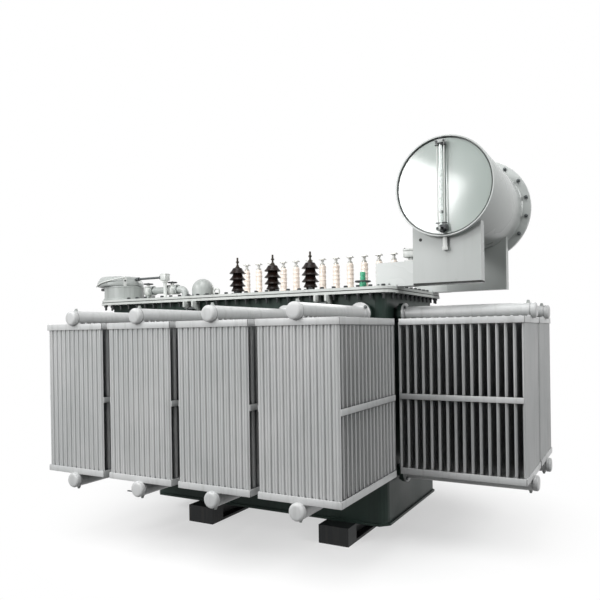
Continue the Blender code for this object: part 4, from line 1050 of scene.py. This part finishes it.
def build_hv_bushings():
    """Brown sheds with drooping edges over a skirt, a bolted iron foot ring, and a stud with nuts."""
    for number in (1, 2, 3):
        node = f"hv_bushing_{number}"
        origin = underside(node)
        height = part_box(node)[1][2] - origin[2]
        profile = [
            (0.008, 0), (0.008, 0.031), (0.020, 0.0315), (0.0315, 0.0335), (0.0325, 0.0470),
            (0.0335, 0.0510), (0.0365, 0.0520), (0.0420, 0.0500), (0.0560, 0.0425), (0.0660, 0.0385),
        ]
        for shed in range(3):
            foot = 0.066 + shed * 0.050
            profile += [
                (foot + 0.0130, 0.0365),
                (foot + 0.0120, 0.0440),
                (foot + 0.0085, 0.0560),
                (foot + 0.0070, 0.0625),
                (foot + 0.0080, 0.0645),
                (foot + 0.0105, 0.0648),
                (foot + 0.0160, 0.0610),
                (foot + 0.0280, 0.0500),
                (foot + 0.0400, 0.0420),
                (foot + 0.0490, 0.0378),
            ]
        profile += [(0.2185, 0.0310), (0.2215, 0.0200), (0.2225, 0)]
        sheds = turned(profile, 56, origin)
        add_piece(f"hv_porcelain_{number}", sheds, BROWN_GLAZE, [node])
        foot_ring = turned(disc(0, 0.0105, 0.052), 40, origin)
        spots = bolt_ring(above(origin, 0.0100), (0, 0, 1), 0.0430, 4)
        bolts = scattered(hex_bolt(0.016, 0.008, 0.009), spots)
        add_piece(f"hv_foot_ring_{number}", joined([foot_ring, bolts]), IRON_PAINT)
        stud = joined([
            turned(disc(0.220, 0.2275, 0.0190), 28, origin),
            turned(disc(0.224, height, 0.0075), 16, origin),
            hexagon(0.0215, 0.2275, 0.2375, Matrix.Translation(origin)),
            turned(disc(0.2375, 0.2395, 0.0135), 20, origin),
            hexagon(0.0215, 0.2620, 0.2720, Matrix.Translation(origin)),
            turned(disc(0.2600, 0.2620, 0.0135), 20, origin),
        ])
        add_piece(f"hv_stud_{number}", stud, STUD_BRASS)


def build_lv_bushings():
    """Cream posts with five low ribs on a foot plate, each under a cap and a flat terminal palm."""
    for number in (1, 2, 3, 4):
        node = f"lv_bushings_{number}"
        low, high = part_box(node)
        centre = middle(node)
        base = low[2]
        plate_top = base + 0.012
        plate = bevelled_box(low, (high[0], high[1], plate_top), 0.003)
        spots = [
            Matrix.Translation((centre.x + dx, centre.y + dy, plate_top))
            for dx in (-0.064, 0.064) for dy in (-0.040, 0.040)
        ]
        plate = joined([plate, scattered(hex_bolt(0.014, 0.007, 0.008), spots)])
        add_piece(f"lv_foot_plate_{number}", plate, FITTING_ENAMEL, [node])
        posts = []
        metal = []
        for step in (-0.128, 0, 0.128):
            origin = (centre.x + step, centre.y, base)
            profile = [(0.0115, 0), (0.0115, 0.0345), (0.013, 0.036), (0.038, 0.036), (0.042, 0.0335)]
            for rib in (0.052, 0.087, 0.122, 0.157, 0.192):
                profile += [
                    (rib, 0.0275), (rib + 0.007, 0.0272), (rib + 0.010, 0.0295), (rib + 0.014, 0.0300),
                    (rib + 0.018, 0.0292), (rib + 0.022, 0.0272),
                ]
            profile += [
                (0.232, 0.0275), (0.238, 0.0290), (0.248, 0.0290), (0.256, 0.0240), (0.259, 0.0180),
                (0.259, 0),
            ]
            posts.append(turned(profile, 36, origin))
            metal += [
                turned(disc(0.2585, 0.2700, 0.0210), 28, origin),
                turned(disc(0.268, high[2] - base - 0.012, 0.0085), 16, origin),
                hexagon(0.024, 0.2700, 0.2800, Matrix.Translation(origin)),
                hexagon(0.024, 0.2900, 0.3000, Matrix.Translation(origin)),
                bevelled_box(
                    (origin[0] - 0.026, origin[1] - 0.020, high[2] - 0.013),
                    (origin[0] + 0.026, origin[1] + 0.020, high[2] - 0.004), 0.0015,
                ),
            ]
            spots = [
                Matrix.Translation((origin[0] + dx, origin[1], high[2] - 0.0085))
                for dx in (-0.016, 0.016)
            ]
            metal.append(scattered(hex_bolt(0.013, 0.0055, 0.0085), spots))
        add_piece(f"lv_porcelain_{number}", joined(posts), CREAM_GLAZE)
        add_piece(f"lv_terminals_{number}", joined(metal), TERMINAL_TIN)


# Tap changer and oil pipe.

def build_tap_changer():
    """Smooth head on a flange, under a hood with a clamp, a bail round its side and a latch."""
    origin = underside("tap_changer_head")
    head_profile = [
        (0, 0), (0, 0.1725), (0.0015, 0.174), (0.0145, 0.174), (0.016, 0.1725), (0.016, 0.166),
        (0.104, 0.166), (0.106, 0.168), (0.1195, 0.168), (0.120, 0.166), (0.120, 0),
    ]
    head = turned(head_profile, 80, origin)
    add_piece("tap_head", head, FITTING_ENAMEL, ["tap_changer_head"])
    hood_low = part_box("tap_changer_hood")[0][2]
    x = middle("tap_changer_hood").x
    y = origin[1]
    hood_profile = [
        (0, 0), (0, 0.186), (0.004, 0.1915), (0.012, 0.1935), (0.030, 0.1935), (0.040, 0.1905),
        (0.050, 0.1820), (0.066, 0.1740), (0.078, 0.1660), (0.085, 0.1500), (0.0875, 0.1250),
        (0.0878, 0),
    ]
    hood = turned(hood_profile, 80, (x, y, hood_low))
    add_piece("tap_hood", hood, FITTING_ENAMEL, ["tap_changer_hood"])
    turn = Matrix.Translation((x, y, hood_low)) @ Matrix.Rotation(math.radians(CLAMP_TURN), 4, "Z")
    clamp = bevelled_box((0.160, -0.013, -0.022), (0.198, 0.013, 0.080), 0.004)
    bmesh.ops.transform(clamp, matrix=turn, verts=clamp.verts)
    bail = bmesh.new()
    end = turn @ Matrix.Translation((0.199, 0, 0.074)) @ Matrix.Rotation(math.radians(90), 4, "X")
    bmesh.ops.create_circle(bail, segments=12, radius=0.0055, matrix=end)
    bail_drop, bail_steps = 0.072, 24
    bmesh.ops.spin(
        bail, geom=bail.verts[:] + bail.edges[:], cent=(x, y, 0), axis=(0, 0, -1),
        dvec=(0, 0, -bail_drop / bail_steps), angle=math.radians(94), steps=bail_steps,
    )
    bmesh.ops.holes_fill(bail, edges=[edge for edge in bail.edges if edge.is_boundary])
    add_piece("hood_clamp", joined([clamp, bail]), HANDLE_ENAMEL)
    screw = turn @ facing((0.1975, 0, 0.045), (1, 0, 0))
    latch = joined([
        scattered(hex_bolt(0.014, 0.004, 0.0075), [screw]),
        bevelled_box(
            (x - 0.1900, y - 0.050, hood_low - 0.028), (x - 0.150, y - 0.015, hood_low - 0.004), 0.005
        ),
    ])
    add_piece("hood_latch", latch, IRON_PAINT)


def build_tap_drive():
    """Gear case with a lid on a column, and the shaft between its couplings to the hood."""
    low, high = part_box("tap_changer_drive")
    x = high[0] - 0.0365
    y = (low[1] + high[1]) / 2
    level = high[2] - 0.030
    body = joined([
        turned(disc(0, 0.012, 0.038), 32, (x, y, low[2])),
        turned(disc(0.010, level - low[2], 0.0145, 0.0005), 24, (x, y, low[2])),
        turned(disc(level - low[2] - 0.046, level - low[2] - 0.026, 0.022), 28, (x, y, low[2])),
        bevelled_box(
            (x - 0.029, y - 0.029, level - 0.029), (x + 0.029, y + 0.029, level + 0.026), 0.005
        ),
        bevelled_box(
            (x - 0.030, y - 0.030, level + 0.020), (x + 0.030, y + 0.030, level + 0.0295), 0.002
        ),
    ])
    add_piece("drive_gear_case", body, HANDLE_ENAMEL, ["tap_changer_drive"])
    shaft = joined([
        turned(disc(low[0] + 0.001, x - 0.020, 0.0095, 0.0005), 20, (0, y, level), (1, 0, 0)),
        turned(disc(x - 0.056, x - 0.029, 0.0160), 24, (0, y, level), (1, 0, 0)),
        turned(disc(low[0] + 0.018, low[0] + 0.046, 0.0160), 24, (0, y, level), (1, 0, 0)),
    ])
    add_piece("drive_shaft", shaft, BOLT_ZINC)


def build_oil_pipe():
    """Low pipe with a round elbow and flanges, and a valve with a spoked handwheel at two places."""
    low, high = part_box("cover_oil_pipe")
    y = (low[1] + high[1]) / 2
    start = low[0] + 0.0435
    end = start + 0.415
    level = low[2] + 0.080
    bend = 0.050
    moves = (end - start - bend, ((0, 0, -1), bend, 90), 0.030)
    pipe = joined([
        piped(0.029, 28, (start, y, level), (1, 0, 0), moves),
        turned(disc(0, 0.014, 0.045), 32, (end, y, low[2])),
        turned(disc(0, 0.014, 0.045), 32, (start, y, low[2])),
        turned(disc(0.010, 0.060, 0.027), 28, (start, y, low[2])),
    ])
    add_piece("oil_pipe", pipe, FITTING_ENAMEL, ["cover_oil_pipe"])
    valves = []
    flanges = []
    wheels = []
    bolts = [
        spot for x in (start, end) for spot in bolt_ring((x, y, low[2] + 0.014), (0, 0, 1), 0.036, 4)
    ]
    valve_profile = [
        (0, 0), (0, 0.028), (0.010, 0.036), (0.022, 0.0395), (0.052, 0.0395), (0.062, 0.034),
        (0.068, 0.030), (0.072, 0.034), (0.078, 0.034), (0.079, 0.016), (0.094, 0.0135), (0.096, 0.006),
        (0.101, 0.006), (0.101, 0),
    ]
    for x in (start, start + 0.272):
        valves.append(turned(valve_profile, 32, (x, y, level - 0.039)))
        for side in (-1, 1):
            if x == start and side < 0:
                continue
            for step in (0.040, 0.0535):
                place = (x + side * step, y, level)
                flanges.append(turned(disc(0, 0.012, 0.042), 32, place, (side, 0, 0)))
            bolts += bolt_ring((x + side * 0.0655, y, level), (side, 0, 0), 0.0355, 4)
        wheels.append(handwheel(0.042, 0.005, 5, Matrix.Translation((x, y, level + 0.061))))
    add_piece("oil_pipe_valves", joined(valves), HANDLE_ENAMEL)
    add_piece("oil_pipe_flanges", joined(flanges), FITTING_ENAMEL)
    add_piece("oil_pipe_handwheels", joined(wheels), IRON_PAINT)
    heads = scattered(hex_bolt(0.010, 0.006, 0.0062), bolts)
    add_piece("oil_pipe_bolts", heads, BOLT_ZINC)


def build_relief_dome():
    """Spun dome on a flange with clamping bolts."""
    origin = underside("pressure_relief_dome")
    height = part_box("pressure_relief_dome")[1][2] - origin[2] - SEAT_GAP
    radius = 0.090
    profile = [
        (0, 0), (0, 0.1105), (0.0015, 0.112), (0.0125, 0.112), (0.014, 0.1105), (0.014, 0.0935),
        (0.0175, radius),
    ]
    for degrees in range(0, 90, 6):
        angle = math.radians(degrees)
        profile.append((height - radius + radius * math.sin(angle), radius * math.cos(angle)))
    profile.append((height, 0))
    dome = turned(profile, 64, origin)
    add_piece("relief_dome", dome, FITTING_ENAMEL, ["pressure_relief_dome"])
    spots = bolt_ring(above(origin, 0.014), (0, 0, 1), 0.1015, 12)
    bolts = scattered(hex_bolt(0.011, 0.007, 0.0072), spots)
    add_piece("relief_dome_bolts", bolts, BOLT_ZINC)


def build_lifting_eye():
    """Upright ring on a round foot."""
    origin = underside("cover_lifting_eye")
    upright = Matrix.Translation(above(origin, 0.046)) @ Matrix.Rotation(math.radians(90), 4, "X")
    foot = [(0, 0), (0, 0.022), (0.008, 0.022), (0.016, 0.014), (0.022, 0.009), (0.022, 0)]
    eye = joined([turned(foot, 28, origin), ring(0.026, 0.008, 36, 14, upright)])
    add_piece("lifting_eye", eye, HANDLE_ENAMEL, ["cover_lifting_eye"])


def build_filter_valve():
    """Green valve: bolted foot, bulged body, a dark spoked handwheel and a capped outlet."""
    origin = underside("filter_valve")
    bulge = [
        (0.010, 0), (0.010, 0.024), (0.020, 0.026), (0.036, 0.026), (0.044, 0.020), (0.062, 0.017),
        (0.062, 0),
    ]
    outlet = [
        (0.058, 0), (0.058, 0.019), (0.084, 0.0195), (0.086, 0.0175), (0.092, 0.0175), (0.094, 0.0195),
        (0.116, 0.0195), (0.1195, 0.016), (0.1195, 0),
    ]
    body = joined([turned(profile, 32, origin) for profile in (disc(0, 0.013, 0.040), bulge, outlet)])
    add_piece("filter_valve_body", body, VALVE_ENAMEL, ["filter_valve"])
    wheel = handwheel(0.0575, 0.0062, 5, Matrix.Translation(above(origin, 0.0525)))
    add_piece("filter_valve_handwheel", wheel, IRON_PAINT)
    spots = bolt_ring(above(origin, 0.013), (0, 0, 1), 0.033, 4)
    bolts = scattered(hex_bolt(0.008, 0.005, 0.0052), spots)
    add_piece("filter_valve_bolts", bolts, BOLT_ZINC)


# Floor, light and camera.

def background_rays(tree):
    """Socket that is 1 for the camera, reflections and glass, and 0 for bounced light."""
    rays = add_node(tree, "ShaderNodeLightPath")
    seen = add_node(
        tree, "ShaderNodeMath", {"operation": "MAXIMUM"},
        {0: rays.outputs["Is Camera Ray"], 1: rays.outputs["Is Glossy Ray"]},
    )
    seen = add_node(
        tree, "ShaderNodeMath", {"operation": "MAXIMUM"},
        {0: seen.outputs["Value"], 1: rays.outputs["Is Transmission Ray"]},
    )
    return seen.outputs["Value"]


def build_floor():
    """Paper floor: white to the camera but for the transformer's shadow, and grey to bounced light."""
    bm = bmesh.new()
    bmesh.ops.create_grid(bm, x_segments=1, y_segments=1, size=60)
    mesh = bpy.data.meshes.new("studio_floor")
    bm.to_mesh(mesh)
    bm.free()
    floor = bpy.data.objects.new("studio_floor", mesh)
    bpy.context.scene.collection.objects.link(floor)
    material, tree, shader, place = new_material("studio_floor_paper")
    fibres = add_node(
        tree, "ShaderNodeTexNoise", {"Scale": PER_METRE / 40, "Detail": 4.0}, {"Vector": place}
    )
    paper = add_node(
        tree, "ShaderNodeMix", {"data_type": "RGBA", 6: linear("#5A5A5A"), 7: linear("#626262")},
        {0: fibres.outputs["Fac"]},
    )
    tree.links.new(paper.outputs[2], shader.inputs["Base Color"])
    shader.inputs["Roughness"].default_value = 0.9
    shader.inputs["Specular IOR Level"].default_value = 0.1
    # Share of plain white grows with the distance from the transformer, so no horizon shows.
    squeezed = add_node(
        tree, "ShaderNodeVectorMath", {"operation": "MULTIPLY", 1: (0.42, 0.52, 0.0)}, {0: place}
    )
    far = add_node(
        tree, "ShaderNodeVectorMath", {"operation": "LENGTH"}, {0: squeezed.outputs["Vector"]}
    )
    fade = add_node(
        tree, "ShaderNodeMapRange",
        {"interpolation_type": "SMOOTHSTEP", "From Min": 0.45, "From Max": 1.05, "To Min": 0.55},
        {"Value": far.outputs["Value"]},
    )
    seen = background_rays(tree)
    share = add_node(
        tree, "ShaderNodeMath", {"operation": "MULTIPLY"}, {0: fade.outputs["Result"], 1: seen}
    )
    shadowed = add_node(tree, "ShaderNodeBsdfDiffuse", {"Color": (1.0, 1.0, 1.0, 1.0)})
    near = add_node(
        tree, "ShaderNodeMixShader", None,
        {0: seen, 1: shader.outputs["BSDF"], 2: shadowed.outputs["BSDF"]},
    )
    white = add_node(tree, "ShaderNodeEmission", {"Strength": 1.0})
    mixed = add_node(
        tree, "ShaderNodeMixShader", None,
        {0: share.outputs["Value"], 1: near.outputs["Shader"], 2: white.outputs["Emission"]},
    )
    tree.links.new(mixed.outputs["Shader"], tree.nodes["Material Output"].inputs["Surface"])
    mesh.materials.append(material)


def build_light():
    """White surroundings to the camera and in reflections, a dim sky, and soft lamps."""
    world = bpy.data.worlds.new("studio_world")
    bpy.context.scene.world = world
    world.use_nodes = True
    tree = world.node_tree
    tree.nodes.clear()
    dim = add_node(tree, "ShaderNodeBackground", {"Color": (1, 1, 1, 1), "Strength": 0.20})
    white = add_node(tree, "ShaderNodeBackground", {"Color": (1, 1, 1, 1), "Strength": 1.0})
    mix = add_node(
        tree, "ShaderNodeMixShader", None,
        {0: background_rays(tree), 1: dim.outputs[0], 2: white.outputs[0]},
    )
    add_node(tree, "ShaderNodeOutputWorld", None, {"Surface": mix.outputs[0]})
    for name, place, aim, size, roll, power in (
        ("key_softbox", (-5.2, -6.5, 5.8), (0.0, 0.0, 1.1), (2.4, 2.4), 0, 320),
        ("front_softbox", (-2.60, -8.6, 3.95), (0.6, -0.8, 1.8), (3.0, 2.7), -24, 290),
        ("side_softbox", (7.5, -1.6, 5.2), (1.2, 0.0, 1.6), (3.6, 3.6), 0, 300),
        ("sky_softbox", (0.6, -3.2, 7.2), (0.6, -0.2, 1.2), (4.5, 4.5), 0, 310),
        ("rear_softbox", (-1.0, 8.0, 5.0), (0.0, 0.0, 1.1), (4.0, 4.0), 0, 200),
    ):
        lamp = bpy.data.lights.new(name, "AREA")
        lamp.shape = "RECTANGLE"
        lamp.size, lamp.size_y = size
        lamp.energy = power
        obj = bpy.data.objects.new(name, lamp)
        obj.location = place
        look = (Vector(aim) - Vector(place)).to_track_quat("-Z", "Y")
        obj.rotation_euler = (look @ Quaternion((0, 0, 1), math.radians(roll))).to_euler()
        bpy.context.scene.collection.objects.link(obj)


def build_camera():
    """Camera recovered from the photograph, turned 28 degrees from the long side."""
    camera = bpy.data.cameras.new("camera")
    camera.lens = CAMERA_LENS
    camera.sensor_width = CAMERA_SENSOR
    camera.shift_x, camera.shift_y = CAMERA_SHIFT
    camera.clip_end = 200
    obj = bpy.data.objects.new("camera", camera)
    aim = Matrix.Rotation(math.radians(CAMERA_TURN), 4, "Z")
    aim = aim @ Matrix.Rotation(math.radians(90 - CAMERA_DIP), 4, "X")
    aim = aim @ Matrix.Rotation(math.radians(CAMERA_ROLL), 4, "Z")
    obj.matrix_world = Matrix.Translation(CAMERA_PLACE) @ aim
    bpy.context.scene.collection.objects.link(obj)
    bpy.context.scene.camera = obj


def main():
    build_camera()
    build_light()
    build_floor()
    finish_cad_nodes()
    build_radiators()
    build_radiator_flange_bolts()
    build_drain_cock()
    build_gasket()
    build_cover_bolts()
    build_lifting_lugs()
    build_conservator()
    build_saddle_details()
    build_gauge()
    build_drain()
    build_gas_relay()
    build_hv_bushings()
    build_lv_bushings()
    build_tap_changer()
    build_tap_drive()
    build_oil_pipe()
    build_relief_dome()
    build_lifting_eye()
    build_filter_valve()
    bpy.context.scene.view_settings.view_transform = "Standard"


main()
